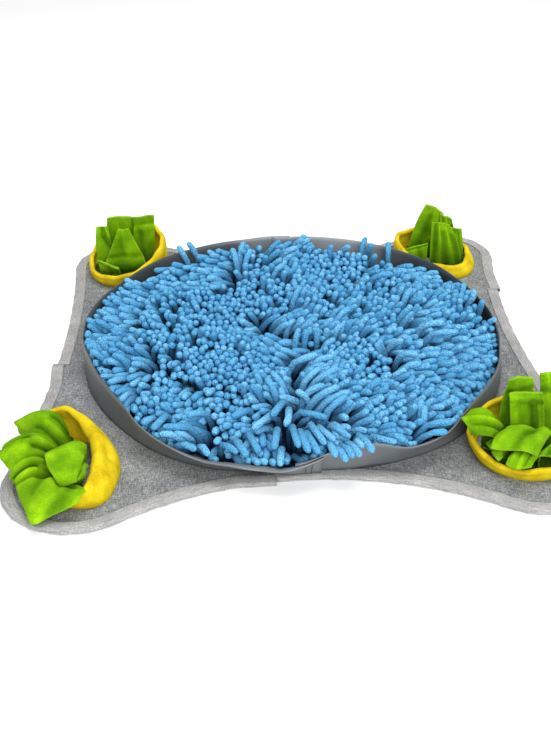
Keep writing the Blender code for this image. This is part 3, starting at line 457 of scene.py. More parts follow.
def add_grid(name, rows, closed, across, spine):
    """Faces between rows of points, as wide as across is long; the lengths along it are the spine's."""
    size = len(rows[0])
    tube = len(across) > size
    line = [row[spine] for row in rows]
    along = run_lengths(line + line[:1] if closed else line)
    faces = []
    uvs = []
    for i in range(len(along) - 1):
        j = (i + 1) % len(rows)
        for k in range(len(across) - 1):
            m = (k + 1) % size
            faces.append((i * size + k, i * size + m, j * size + m, j * size + k))
            uvs += [(along[i], across[k]), (along[i], across[k + 1]),
                    (along[i + 1], across[k + 1]), (along[i + 1], across[k])]
    if tube and not closed:
        for cap in (range(size - 1, -1, -1), range((len(rows) - 1) * size, len(rows) * size)):
            faces.append(tuple(cap))
            uvs += [(0, 0)] * size
    return add_mesh(name, [point for row in rows for point in row], faces, uvs)


# ---- materials ----

MIX_FIRST = 6                   # the colour sockets of a Mix node, by number, as their names repeat
MIX_SECOND = 7
MIX_RESULT = 2
NAP_DEPTH = 0.0005
NAP_STRENGTH = 0.6


class Shade:
    """A socket whose arithmetic adds Math nodes."""

    def __init__(self, cloth, socket):
        self.cloth = cloth
        self.socket = socket

    def math(self, operation, first, second):
        return self.cloth.node("Math", {"operation": operation}, {0: first, 1: second})

    def __add__(self, other):
        return self.math("ADD", self, other)

    def __sub__(self, other):
        return self.math("SUBTRACT", self, other)

    def __rsub__(self, other):
        return self.math("SUBTRACT", other, self)

    def __mul__(self, other):
        return self.math("MULTIPLY", self, other)

    __radd__ = __add__
    __rmul__ = __mul__


class Cloth:
    """A material and the nodes that paint it."""

    def __init__(self, name, roughness, sheen=0.0, sheen_roughness=0.4, sheen_tint=(1, 1, 1), specular=0.3):
        self.material = bpy.data.materials.new(name)
        self.material.use_nodes = True
        self.tree = self.material.node_tree
        self.set({"Roughness": roughness, "Sheen Weight": sheen, "Sheen Roughness": sheen_roughness,
                  "Sheen Tint": sheen_tint, "Specular IOR Level": specular})

    def set(self, values):
        """Set or link sockets of the shader itself."""
        self.feed(self.tree.nodes["Principled BSDF"].inputs, values)

    def feed(self, sockets, values):
        """Set or link sockets, each by its name or number."""
        for place, value in values.items():
            socket = sockets[place]
            if isinstance(value, Shade):
                self.tree.links.new(value.socket, socket)
            elif isinstance(value, tuple) and len(value) < len(socket.default_value):
                socket.default_value = (*value, 1)
            else:
                socket.default_value = value

    def node(self, kind, settings, values, output=0):
        """Add a node: its settings are set first, then the values or links of its sockets."""
        node = self.tree.nodes.new("ShaderNode" + kind)
        for name, setting in settings.items():
            if name == "stops":
                set_stops(node.color_ramp.elements, setting)
            else:
                setattr(node, name, setting)
        self.feed(node.inputs, values)
        return Shade(self, node.outputs[output])

    def place(self, source="Object"):
        return self.node("TexCoord", {}, {}, source)

    def stretched(self, source, x, y, z):
        return self.node("Mapping", {}, {"Vector": source, "Scale": (x, y, z)})

    def noise(self, source, scale, detail=2.0, roughness=0.5):
        return self.node("TexNoise", {}, {"Vector": source, "Scale": scale, "Detail": detail,
                                          "Roughness": roughness}, "Fac")

    def mark(self, name):
        """The numbers that mark_points gave the piece."""
        return self.node("Attribute", {"attribute_name": name}, {}, "Fac")

    def ramp(self, factor, *stops):
        """A colour ramp; each stop is a place and a colour."""
        return self.node("ValToRGB", {"stops": stops}, {0: factor}, "Color")

    def mix(self, factor, first, second, blend="MIX"):
        return self.node("Mix", {"data_type": "RGBA", "blend_type": blend},
                         {0: factor, MIX_FIRST: first, MIX_SECOND: second}, MIX_RESULT)

    def shaded(self, colour, shade):
        """A colour deepened or lightened by a shade."""
        return self.mix(1.0, colour, shade, "MULTIPLY")

    def paint(self, colour, height, depth, strength, roughness=None):
        """Lead a colour and a bump, and where it varies the roughness, to the shader."""
        normal = self.node("Bump", {}, {"Height": height, "Distance": depth, "Strength": strength}, "Normal")
        self.set({"Base Color": colour, "Normal": normal})
        if roughness is not None:
            self.set({"Roughness": roughness})
        return self.material


def set_stops(elements, stops):
    while len(elements) < len(stops):
        elements.new(0.5)
    for element, (position, colour) in zip(elements, stops):
        element.position = position
        element.color = (*colour, 1)


def grey(level):
    """A grey colour."""
    return (level, level, level)


def melange_cloth():
    """Grey cloth of light and dark threads, mottled, with a plain weave."""
    cloth = Cloth("grey_melange", 0.85, sheen=0.04)
    place = cloth.place()
    weft = cloth.noise(cloth.stretched(place, 160, 1300, 300), 1, 2)
    warp = cloth.noise(cloth.stretched(place, 1300, 160, 300), 1, 2)
    speck = cloth.noise(place, 620, 2, 0.6)
    patch = cloth.noise(place, 34, 3, 0.6)
    mottle = weft * 0.34 + warp * 0.34 + speck * 0.32
    threads = cloth.ramp(mottle, (0.38, (0.090, 0.098, 0.100)), (0.50, (0.200, 0.210, 0.212)),
                         (0.62, (0.380, 0.392, 0.392)))
    shade = cloth.ramp(patch, (0.35, grey(0.80)), (0.65, grey(1.10)))
    return cloth.paint(cloth.shaded(threads, shade), mottle, 0.0007, 0.7)


def tape_cloth():
    """Lighter grey tape: fine ribs along it and a mottled twill."""
    cloth = Cloth("grey_tape", 0.78, sheen=0.12)
    length = cloth.place("UV")
    ribs = cloth.noise(cloth.stretched(length, 90, 1500, 1), 1, 2)
    speck = cloth.noise(cloth.stretched(length, 700, 700, 1), 1, 2, 0.6)
    patch = cloth.noise(cloth.place(), 45, 2)
    mottle = ribs * 0.5 + speck * 0.5
    threads = cloth.ramp(mottle, (0.36, (0.205, 0.205, 0.202)), (0.52, (0.355, 0.352, 0.345)),
                         (0.66, (0.520, 0.515, 0.505)))
    shade = cloth.ramp(patch, (0.3, grey(0.82)), (0.7, grey(1.08)))
    return cloth.paint(cloth.shaded(threads, shade), mottle, 0.0006, 0.7)


def wall_cloth():
    """Smooth coated cloth with a satin gloss and a fine weave; a pale painted highlight where its tone is
    above 1, painted shade below.
    """
    cloth = Cloth("grey_wall", 0.36, specular=0.6)
    weave = cloth.noise(cloth.stretched(cloth.place("UV"), 1500, 700, 1), 1, 1)
    cloudy = cloth.noise(cloth.place(), 22, 3)
    coat = cloth.ramp(cloudy, (0.3, (0.125, 0.137, 0.147)), (0.7, (0.170, 0.186, 0.200)))
    # the tone paints light and shade: a pale painted highlight above 1, painted shade down to near black
    # below 1
    tone = cloth.mark("tone")
    pale = cloth.mix(tone - 1.0, coat, (0.330, 0.365, 0.375))
    return cloth.paint(cloth.mix(tone, (0.010, 0.013, 0.015), pale), weave + cloudy * 2.0, 0.0003, 0.5,
                       roughness=weave * 0.16 + cloudy * 0.10 + 0.26)


def chenille():
    """Fuzzy blue chenille: small round tufts, painted light on them and painted shade between them; each
    noodle has its own tone.
    """
    cloth = Cloth("blue_chenille_pile", 0.80, sheen=0.14, sheen_roughness=0.5, sheen_tint=(0.30, 0.70, 1.0),
                  specular=0.15)
    place = cloth.place()
    tuft = cloth.node("TexVoronoi", {"feature": "SMOOTH_F1"},
                      {"Vector": place, "Scale": 560.0, "Smoothness": 0.35}, "Distance")
    fine = cloth.noise(place, 1500, 2)
    round_tuft = 1.0 - tuft
    # painted light: lighter on the tufts' tops, painted shade between them, over each noodle's own tone
    level = round_tuft * 0.40 + fine * 0.10 + cloth.mark("tone") * 0.50
    tone_and_tuft_shading = cloth.ramp(level, (0.34, (0.060, 0.285, 0.530)), (0.52, (0.115, 0.400, 0.670)),
                     (0.70, (0.240, 0.600, 0.860)))
    # painted shade: each noodle darkens towards its root, deep in the pile, though its cloth is one blue all
    # along
    depth = cloth.ramp(cloth.mark("along"), (0.10, (0.06, 0.10, 0.22)), (0.80, grey(1.0)))
    return cloth.paint(cloth.shaded(tone_and_tuft_shading, depth), round_tuft + fine * 0.25, 0.0014, 0.9)


def ground_cloth():
    """Navy knit between the noodles' roots, its colour darkened nearly to black as painted shade in the deep
    gaps.
    """
    cloth = Cloth("navy_ground", 0.9, specular=0.1)
    knit = cloth.noise(cloth.place(), 700, 2)
    # the knit's colour, darkened as painted shade for the gaps between the noodles
    navy = cloth.ramp(knit, (0.35, (0.004, 0.012, 0.045)), (0.65, (0.012, 0.040, 0.120)))
    return cloth.paint(navy, knit, 0.0006, 0.6)


def fleece(name, dark, middle, light):
    """Brushed fleece with soft blotches: its cloth, its colour and the height of its short even nap."""
    cloth = Cloth(name, 0.88, sheen=0.16, sheen_roughness=0.5, sheen_tint=light, specular=0.06)
    place = cloth.place()
    nap = cloth.noise(place, 900, 2, 0.6)
    blotch = cloth.noise(place, 70, 2)
    return cloth, cloth.ramp(nap * 0.4 + blotch * 0.6, (0.34, dark), (0.50, middle), (0.66, light)), nap


def pocket_cloth():
    cloth, yellow, nap = fleece("yellow_fleece_nap", (0.46, 0.32, 0.006), (0.65, 0.485, 0.010),
                                (0.78, 0.62, 0.022))
    return cloth.paint(yellow, nap, NAP_DEPTH, NAP_STRENGTH)


def leaf_cloth():
    """Green fleece with painted shade at its gathered root and in troughs, and painted highlights on ridges
    and cut edges.
    """
    cloth, green, nap = fleece("green_fleece_nap", (0.085, 0.215, 0.002), (0.135, 0.310, 0.003),
                               (0.205, 0.42, 0.005))
    # painted shade at the gathered root and on the skirt on the pocket's floor, and a painted highlight
    # towards the cut edge
    depth = cloth.ramp(cloth.mark("out"), (0.0, (0.22, 0.28, 0.3)), (0.50, grey(0.96)), (1.0, grey(1.12)))
    # painted shade in the folds' troughs and a painted highlight on their ridges
    painted_fold_shading = cloth.ramp(cloth.mark("fold"), (0.10, (0.38, 0.45, 0.45)), (0.45, (0.90, 0.92, 0.92)),
                      (0.85, (1.45, 1.32, 1.3)))
    green_with_painted_shading = cloth.shaded(cloth.shaded(green, depth), painted_fold_shading)
    # a painted highlight along the cut edges
    edge_highlighted = cloth.mix(cloth.mark("hem") * 0.35, green_with_painted_shading, (0.33, 0.56, 0.03))
    return cloth.paint(edge_highlighted, nap, NAP_DEPTH, NAP_STRENGTH)


def thread_cloth(name, colour):
    """Twisted thread, with painted shade between its strands."""
    cloth = Cloth(name, 0.6)
    twist = cloth.noise(cloth.place(), 2500, 1)
    cloth.set({"Base Color": cloth.ramp(twist, (0.3, tuple(part * 0.7 for part in colour)), (0.7, colour))})
    return cloth.material


# ---- outline of the mat ----

HALVINGS = 60                   # of the span in which a bay's centre is searched


def bay_arc(first, second, bay):
    """The arc that touches both lobes from outside and comes within the bay's depth of the centre."""
    out = Vector((bay.out_x, bay.out_y))
    along = Vector((-out.y, out.x))

    def radius_for(lobe, centre):
        place = Vector((lobe.x, lobe.y))
        run = centre - place.dot(along)
        rise = bay.depth - place.dot(out)
        return (run * run + rise * rise - lobe.radius ** 2) / (2 * (lobe.radius - rise))

    low = Vector((first.x, first.y)).dot(along)
    high = Vector((second.x, second.y)).dot(along)
    for _ in range(HALVINGS):
        middle = (low + high) / 2
        if radius_for(first, middle) < radius_for(second, middle):
            low = middle
        else:
            high = middle
    radius = radius_for(first, low)
    return out * (bay.depth + radius) + along * low, radius


def arc_points(centre, radius, start, end, turn):
    """Points with outward normals on an arc; turn is 1 round a lobe and -1 round a bay."""
    first = math.atan2(start.y - centre.y, start.x - centre.x)
    last = math.atan2(end.y - centre.y, end.x - centre.x)
    sweep = (last - first) * turn % (2 * math.pi) * turn
    points = []
    for i in range(ARC_STEPS):
        angle = first + sweep * i / ARC_STEPS
        normal = Vector((math.cos(angle), math.sin(angle)))
        points.append((centre + normal * radius, normal * turn))
    return points


def outline():
    """Points and outward normals all the way round the mat."""
    count = len(LOBES)
    centres = [Vector((lobe.x, lobe.y)) for lobe in LOBES]
    arcs = [bay_arc(LOBES[i], LOBES[(i + 1) % count], BAYS[i]) for i in range(count)]
    points = []
    for i, lobe in enumerate(LOBES):
        bay_centre, bay_radius = arcs[i]
        points += arc_points(centres[i], lobe.radius, arcs[i - 1][0], bay_centre, 1)
        points += arc_points(bay_centre, bay_radius, centres[i], centres[(i + 1) % count], -1)
    return points


# ---- panel ----

CLOTH_FOOT = 0.150              # the panel's cloth is drawn in from its rim to this radius, under the pile
CLOTH_RINGS = 34
CLOTH_THICKNESS = 0.0021
CLOTH_BASE = TAPE_THICKNESS + GAP       # the cloth lies on the tape's lower leg at its rim
# Puckers are products of two waves: the radians a metre to the right and back of each, a phase and a height.
PUCKERS = (
    (70, 40, -35, 62, 0.4, 0.9), (150, -60, 45, 118, 1.1, 0.5), (31, 95, 88, -20, 2.3, 0.7),
)
PUCKER_DEPTH = 0.0004
LOBE_DEPTH = 0.0009             # they are deeper in the lobes, out to so many radii
LOBE_REACH = 1.6
SLACK = Lobe(x=0.190, y=-0.235, radius=0.075)   # and deepest where the front right lobe lies slack
SLACK_DEPTH = 0.0022


def panel_height(x, y):
    """Height of the panel's top over its flat level: shallow puckers, deeper in the lobes."""
    pucker = sum(height * math.sin(a * x + b * y + phase) * math.sin(c * x + d * y + 2 * phase)
                 for a, b, c, d, phase, height in PUCKERS)
    in_lobe = max(smooth(1 - math.hypot(x - lobe.x, y - lobe.y) / (lobe.radius * LOBE_REACH))
                  for lobe in LOBES)
    in_slack = smooth(1 - math.hypot(x - SLACK.x, y - SLACK.y) / SLACK.radius)
    return max(pucker * 0.5 + 0.4, 0.0) * (PUCKER_DEPTH + LOBE_DEPTH * in_lobe + SLACK_DEPTH * in_slack)


def panel_row(place, normal):
    """Places on the top of the panel's cloth from its rim inwards."""
    rim = place - normal * (TAPE_THICKNESS + GAP)
    inner = place - normal * (TAPE_LEG + GAP)
    foot = place.normalized() * CLOTH_FOOT
    row = [Vector((*spot, CLOTH_BASE + PANEL_THICKNESS)) for spot in (rim, inner)]
    reach = (foot - inner).length
    for i in range(1, CLOTH_RINGS + 1):
        spot = inner.lerp(foot, i / CLOTH_RINGS)
        ramp = reach * i / CLOTH_RINGS / PANEL_RAMP
        height = PANEL_THICKNESS + CLOTH_BASE * (1 - smooth(ramp)) + panel_height(*spot) * smooth(ramp / 2)
        row.append(Vector((*spot, height)))
    return row


def make_panel(points, material):
    cloth = add_cloth("panel_cloth", [panel_row(place, normal) for place, normal in points], closed=True)
    pick(cloth)
    bpy.ops.object.mode_set(mode="EDIT")
    bpy.ops.mesh.select_all(action="DESELECT")
    bpy.ops.mesh.select_mode(type="EDGE")
    bpy.ops.object.mode_set(mode="OBJECT")
    innermost = CLOTH_FOOT * 1.0005
    for edge in cloth.data.edges:
        ends = [cloth.data.vertices[i].co for i in edge.vertices]
        edge.select = all(math.hypot(end.x, end.y) < innermost for end in ends)
    bpy.ops.object.mode_set(mode="EDIT")
    bpy.ops.mesh.edge_face_add()
    bpy.ops.object.mode_set(mode="OBJECT")
    face_outwards(cloth)
    if sum(face.normal.z * face.area for face in cloth.data.polygons) < 0:
        cloth.data.flip_normals()
    apply_modifier(cloth, "SOLIDIFY", thickness=CLOTH_THICKNESS, offset=-1)
    finish_piece(cloth, material, "grey_melange_cloth", "mat_panel")


# ---- binding ----

TAPE_ROUND = 0.0018             # how far in the rounded fold of the tape reaches
TAPE_ROUND_STEPS = 8
TAPE_SLACK = 0.0004             # between the cloth's rim and the fold, and over the cloth
TAPE_EDGE = 0.008               # the tape flutters out to this distance from the rim
TAPE_TOP = 0.004                # and lifts above this height
TAPE_FLUTTER = ((0.0003, 260, 0), (0.0002, 611, 1))
TAPE_LIFT = (0.0003, 330, 2)
SEAM_INSET = 0.0016             # from the tape's inner edge to its stitches
SEAM_HEIGHT = 0.0046
SEAM_BREAK = 0.02               # the stitches leave off over a longer step than this


def tape_profile():
    """The folded tape's section as distances out from the rim and up from the floor."""
    top = 2 * (TAPE_THICKNESS + GAP) + PANEL_THICKNESS
    middle = top / 2
    outer = [(-TAPE_LEG, 0.0), (-TAPE_LEG * 0.5, 0.0)]
    for i in range(TAPE_ROUND_STEPS + 1):
        angle = math.radians(-90 + 180 * i / TAPE_ROUND_STEPS)
        outer.append((-TAPE_ROUND + TAPE_ROUND * math.cos(angle), middle + middle * math.sin(angle)))
    # the upper leg dips under its stitches
    outer += [(-TAPE_LEG * 0.5, top + TAPE_SLACK), (-TAPE_LEG + 0.0022, top + 0.0001),
              (-TAPE_LEG + 0.0012, top - 0.0003), (-TAPE_LEG, top)]
    fold = -TAPE_THICKNESS - TAPE_SLACK
    inner = [(-TAPE_LEG, top - TAPE_THICKNESS), (fold, top - TAPE_THICKNESS),
             (fold, TAPE_THICKNESS), (-TAPE_LEG, TAPE_THICKNESS)]
    return outer + inner


def nearest(points, x, y):
    """The number of the outline point nearest to a place."""
    place = Vector((x, y))
    return min(range(len(points)), key=lambda i: (points[i][0] - place).length)


def strip_run(points, strip):
    """The outline points under a strip, with how far the strip stands proud at each."""
    start = nearest(points, strip.start_x, strip.start_y)
    end = nearest(points, strip.end_x, strip.end_y)
    count = (end - start) % len(points) + 1
    run = [points[(start + i) % len(points)] for i in range(count)]
    lengths = run_lengths([place for place, _ in run])
    prouds = []
    for length in lengths:
        prouds.append(LAP_PROUD * max(strip.proud_start * smooth(1 - length / LAP_FADE),
                                      strip.proud_end * smooth(1 - (lengths[-1] - length) / LAP_FADE)))
    return run, lengths, prouds


def make_bindings(points, material, thread):
    profile = tape_profile()
    seam = []
    for strip in STRIPS:
        run, lengths, prouds = strip_run(points, strip)
        sections = []
        for (place, normal), length, proud in zip(run, lengths, prouds):
            forward = Vector((-normal.y, normal.x))
            shift = GAP * ((length == 0) - (length == lengths[-1]))
            flutter = ripple(length, *TAPE_FLUTTER)
            lift = ripple(length, TAPE_LIFT)
            section = []
            for out, height in profile:
                reach = out + proud + (flutter if out > -TAPE_EDGE else 0)
                spot = place + forward * shift + normal * reach
                section.append(Vector((*spot, height + (lift if height > TAPE_TOP else 0))))
            sections.append(section)
            seam.append(place - normal * (TAPE_LEG - SEAM_INSET - proud))
        tape = add_band("tape_" + strip.name.removeprefix("binding_"), sections)
        finish_piece(tape, material, "grey_binding_tape", strip.name)
    make_seam("binding_stitches", stitch_line(seam, SEAM_HEIGHT), thread, "grey_binding_tape")


# ---- stitches ----

STITCH_PITCH = 0.0034
STITCH_LENGTH = 0.0024
STITCH_RADIUS = 0.00032
STITCH_BODY = 0.70              # as shares of its length
STITCH_END = 0.15


def stitch_line(places, height):
    """Places and directions of stitches along a row of places on the mat."""
    line = []
    carry = 0.0
    for near, far in zip(places, places[1:]):
        step = far - near
        if step.length > SEAM_BREAK:
            continue
        carry += step.length
        if carry >= STITCH_PITCH:
            carry -= STITCH_PITCH
            line.append((Vector((*near, height)), Vector((*step, 0)).normalized()))
    return line


def make_seam(name, line, material, slot):
    """Copies of one stitch along a line, joined."""
    bpy.ops.object.select_all(action="DESELECT")
    bpy.ops.mesh.primitive_cylinder_add(vertices=6, radius=STITCH_RADIUS, depth=STITCH_LENGTH * STITCH_BODY)
    stitch = bpy.context.object
    bpy.ops.object.mode_set(mode="EDIT")
    bpy.ops.mesh.select_mode(type="FACE")
    bpy.ops.mesh.select_all(action="DESELECT")
    bpy.ops.object.mode_set(mode="OBJECT")
    for face in stitch.data.polygons:
        face.select = abs(face.normal.z) > 0.9
    bpy.ops.object.mode_set(mode="EDIT")
    bpy.ops.mesh.extrude_faces_move(TRANSFORM_OT_shrink_fatten={"value": STITCH_LENGTH * STITCH_END})
    bpy.ops.mesh.inset(thickness=STITCH_RADIUS * 0.5, use_individual=True)
    bpy.ops.object.mode_set(mode="OBJECT")
    points = []
    faces = []
    for place, along in line:
        turn = along.to_track_quat("Z", "Y").to_matrix()
        first = len(points)
        points += [place + turn @ vertex.co for vertex in stitch.data.vertices]
        faces += [tuple(first + i for i in face.vertices) for face in stitch.data.polygons]
    bpy.data.objects.remove(stitch, do_unlink=True)
    finish_piece(add_mesh(name, points, faces), material, slot)


# ---- wall ----

WALL_LEVELS = 9
WALL_RIPPLE = 0.0005
BRIM_NARROW = 0.65              # the brim's rounding, as shares of the wall's thickness
BRIM_CREST = 0.28
LAP_STEP = WALL_THICKNESS + WALL_LAP_GAP
WALL_SEAMS = (-90.6, -89.2, 90.2, 91.6)
WALL_STITCHES = 9               # in each seam
# painted light and shade by azimuth: a pale painted highlight above 1, as at the back join, painted shade
# below 1
WALL_PAINTED_LIGHT = (
    (-180, 0.35), (-150, 0.45), (-132, 0.85), (-110, 1.00), (-60, 1.00), (-45, 0.80), (-28, 0.40),
    (0, 0.35), (45, 0.28), (55, 0.60), (62, 1.70), (76, 1.70), (84, 1.30), (100, 1.35), (108, 0.55),
    (135, 0.28), (180, 0.35),
)


def wall_at(azimuth):
    """Foot radius and lean of the wall at an azimuth, eased between the rows by a cubic."""
    azimuth = turned(azimuth)
    count = len(WALL_ROWS)
    index = max(i for i in range(count) if WALL_ROWS[i].azimuth <= azimuth)
    rows = [WALL_ROWS[(index + i) % count] for i in (-1, 0, 1, 2)]
    angles = [rows[1].azimuth + (row.azimuth - rows[1].azimuth) % 360 for row in rows]
    angles[0] -= 360
    width = angles[2] - angles[1]
    share = (azimuth - angles[1]) / width
    values = []
    for field in ("foot", "lean"):
        a, b, c, d = (getattr(row, field) for row in rows)
        slope_b = (c - a) / (angles[2] - angles[0]) * width
        slope_c = (d - b) / (angles[3] - angles[1]) * width
        values.append(b + slope_b * share + (3 * (c - b) - 2 * slope_b - slope_c) * share ** 2
                      + (2 * (b - c) + slope_b + slope_c) * share ** 3)
    return values


def wall_foot_height(azimuth):
    """The wall stands on the panel, and on the binding where the front bay comes under it."""
    off_front = abs(turned(azimuth + 90))
    rise = TAPE_THICKNESS + GAP + TAPE_THICKNESS + GAP
    crossing = smooth((TAPE_CROSSING_END - off_front) / (TAPE_CROSSING_END - TAPE_CROSSING))
    return PANEL_THICKNESS + GAP + rise * crossing


def wall_line(azimuth, out=0.0):
    """Radius and height of the wall's middle line at its foot, half way up and at the brim."""
    foot, lean = wall_at(azimuth)
    radius = foot + out
    height = wall_foot_height(azimuth)
    line = [(radius, height)]
    for part in (1 - WALL_FLEX, 1 + WALL_FLEX):
        angle = math.radians(lean * part)
        radius += math.sin(angle) * WALL_WIDTH / 2
        height += math.cos(angle) * WALL_WIDTH / 2
        line.append((radius, height))
    return line


def wall_section(azimuth, out):
    """A closed section of the wall with a rounded brim, its middle line a smooth curve."""
    foot, waist, brim = (Vector(place) for place in wall_line(azimuth, out))
    bend = waist * 2 - (foot + brim) / 2
    ahead = heading(azimuth)
    wave = WALL_RIPPLE * math.sin(math.radians(azimuth * 17)) * math.sin(math.radians(azimuth * 7 + 40))
    outer = []
    inner = []
    for i in range(WALL_LEVELS):
        share = i / (WALL_LEVELS - 1)
        run = curve_way(foot, bend, brim, share)
        side = Vector((run.y, -run.x))
        middle = curve(foot, bend, brim, share) + side * (wave * share)
        reach = side * (WALL_THICKNESS / 2 * (BRIM_NARROW if share == 1 else 1))
        if i == 0:
            reach.y = 0
        outer.append(middle + reach)
        inner.append(middle - reach)
    crest = middle + run * WALL_THICKNESS * BRIM_CREST
    return [Vector((*(ahead * spot.x), spot.y)) for spot in outer + [crest] + inner[::-1]]


def make_walls(material, thread):
    azimuths, painted_levels = zip(*WALL_PAINTED_LIGHT)
    for half in WALL_HALVES:
        steps = round((half.end - half.start) / WALL_STEP)
        sections = []
        for i in range(steps + 1):
            azimuth = half.start + (half.end - half.start) * i / steps
            end_distance = min(azimuth - half.start, half.end - azimuth)
            lap = smooth(1 - (end_distance - LAP_ANGLE) / LAP_ANGLE)
            steepest = math.radians(wall_at(azimuth)[1] * (1 + WALL_FLEX))
            sections.append(wall_section(azimuth, half.lapped_out * lap * LAP_STEP / math.cos(steepest)))
        band = add_band("tray_" + half.name, sections)
        places = [math.degrees(math.atan2(vertex.co.y, vertex.co.x)) for vertex in band.data.vertices]
        # the wall's painted light and shade, by azimuth
        mark_points(band, "tone", np.interp(places, azimuths, painted_levels))
        finish_piece(band, material, "grey_wall_cloth", half.name)
    line = []
    for azimuth in WALL_SEAMS:
        section = wall_section(azimuth, LAP_STEP / math.cos(math.radians(wall_at(azimuth)[1])))
        foot = section[0]
        brim = section[WALL_LEVELS - 1]
        proud = Vector((*heading(azimuth), 0.2)) * STITCH_RADIUS
        for i in range(WALL_STITCHES):
            line.append((foot.lerp(brim, (i + 0.5) / WALL_STITCHES) + proud, (brim - foot).normalized()))
    make_seam("wall_stitches", line, thread, "grey_wall_cloth")


# ---- noodles ----

LEAN_REACH = 0.008              # how far a lean holds around its place
LEAN_CHANCE = 0.20
SWAY_ONCE = 0.16                # noodles sway by chance in a slow wave and in one twice as quick
SWAY_TWICE = 0.10
CURVE_FROM = 0.06               # where a noodle starts to turn to its lean, over what share of its length
CURVE_OVER = 0.72
CURVE_ROOT = 0.22               # and how much it leans at its root already
ROD_BACK = 0.006                # a long noodle's root lies this far behind the place where it shows,
ROD_BACK_SHARE = 0.30           # but no more than this share of its visible run
SET_WEIGHT = 5.0                # how much less a noodle that lies clear gives way than the others
SET_APART = 0.75                # no other root lies nearer to its own, as a share of the pitch


def camera_axes():
    """Where the camera stands, and its right, up and back."""
    azimuth = math.radians(CAMERA_AZIMUTH)
    elevation = math.radians(CAMERA_ELEVATION)
    roll = math.radians(CAMERA_ROLL)
    back = Vector((math.sin(azimuth) * math.cos(elevation), -math.cos(azimuth) * math.cos(elevation),
                   math.sin(elevation)))
    right = Vector((math.cos(azimuth), math.sin(azimuth), 0))
    up = back.cross(right)
    place = Vector(CAMERA_TARGET) + back * CAMERA_DISTANCE
    turned_right = right * math.cos(roll) + up * math.sin(roll)
    turned_up = up * math.cos(roll) - right * math.sin(roll)
    return place, turned_right, turned_up, back


def frame_place(column, row, height):
    """The place at a height that shows at a column and row of the frame."""
    place, right, up, back = camera_axes()
    focal = CAMERA_LENS / SENSOR_WIDTH * FRAME_WIDTH
    sight = right * (column - FRAME_WIDTH / 2) / focal - up * (row - FRAME_HEIGHT / 2) / focal - back
    return place + sight * (height - place.z) / sight.z


def unit(ways):
    return ways / np.linalg.norm(ways, axis=-1, keepdims=True)


def lean_field(places):
    """Direction of the noodles' ends at each place, from the leans seen around it."""
    spots = np.array([frame_place(lean.column, lean.row, LEAN_HEIGHT) for lean in LEANS])
    turn = np.radians([[lean.turn] for lean in LEANS])
    off = np.radians([[lean.off] for lean in LEANS])
    sight = unit(np.array(camera_axes()[0]) - spots)
    right = unit(np.cross([0, 0, 1], sight))
    across = right * np.cos(turn) + np.cross(sight, right) * np.sin(turn)
    ways = sight * np.cos(off) + across * np.sin(off)
    away = ((places[:, None, :] - spots[None, :, :2]) ** 2).sum(axis=2)
    away -= away.min(axis=1, keepdims=True)
    return unit(np.exp(-away / (2 * LEAN_REACH ** 2)) @ ways)


def root_places(chance):
    """A hexagonal field of roots with some unevenness."""
    row_height = NOODLE_PITCH * math.sqrt(0.75)
    reach = int(NOODLE_ROOTS / row_height) + 2
    places = []
    for row in range(-reach, reach + 1):
        for column in range(-reach - 4, reach + 5):
            x = (column + 0.5 * (row % 2)) * NOODLE_PITCH
            places.append((x, row * row_height))
    places = np.array(places)
    places += chance.uniform(-ROOT_JITTER, ROOT_JITTER, places.shape)
    return places[np.hypot(places[:, 0], places[:, 1]) < NOODLE_ROOTS]


def curve_ways(ends, sway):
    """Directions of each part of a noodle that starts nearly upright and ends the given way."""
    share = (np.linspace(0, 1, BEADS - 1) - CURVE_FROM) / CURVE_OVER
    lean = np.clip(share, 0, 1)
    lean = (CURVE_ROOT + (1 - CURVE_ROOT) * lean * lean * (3 - 2 * lean))[None, :, None]
    upright = np.array([0.0, 0.0, 1.0])
    return unit(upright * (1 - lean) + ends[:, None, :] * lean + sway)


def path_ways(path):
    """Unit steps along a path of points, in equal parts, and the path's length."""
    path = np.asarray(path, dtype=float)
    runs = np.concatenate([[0], np.cumsum(np.linalg.norm(np.diff(path, axis=0), axis=1))])
    marks = np.linspace(0, runs[-1], BEADS)
    points = np.stack([np.interp(marks, runs, path[:, i]) for i in range(3)], axis=1)
    return unit(np.diff(points, axis=0)), runs[-1]


def rod_path(rod):
    """The path of a noodle that comes up out of the pile at one place and ends clear of it at another."""
    start = np.array(frame_place(rod.column, rod.row, rod.up * MM))
    end = np.array(frame_place(rod.end_column, rod.end_row, rod.end_up * MM))
    way = end - start
    low = start - way * min(ROD_BACK_SHARE, ROD_BACK / max(np.linalg.norm(way[:2]), 1e-6))
    low *= min(1.0, NOODLE_ROOTS / math.hypot(low[0], low[1]))
    low[2] = ROOT_HEIGHT
    path = [low]
    for share, risen in ((-0.04, 0), (0.2, 0.5), (0.6, 0.9), (1, 1)):
        bend = start + way * share
        bend[2] = start[2] + way[2] * risen
        path.append(bend)
    path[1][2] = start[2] * 0.8
    return path


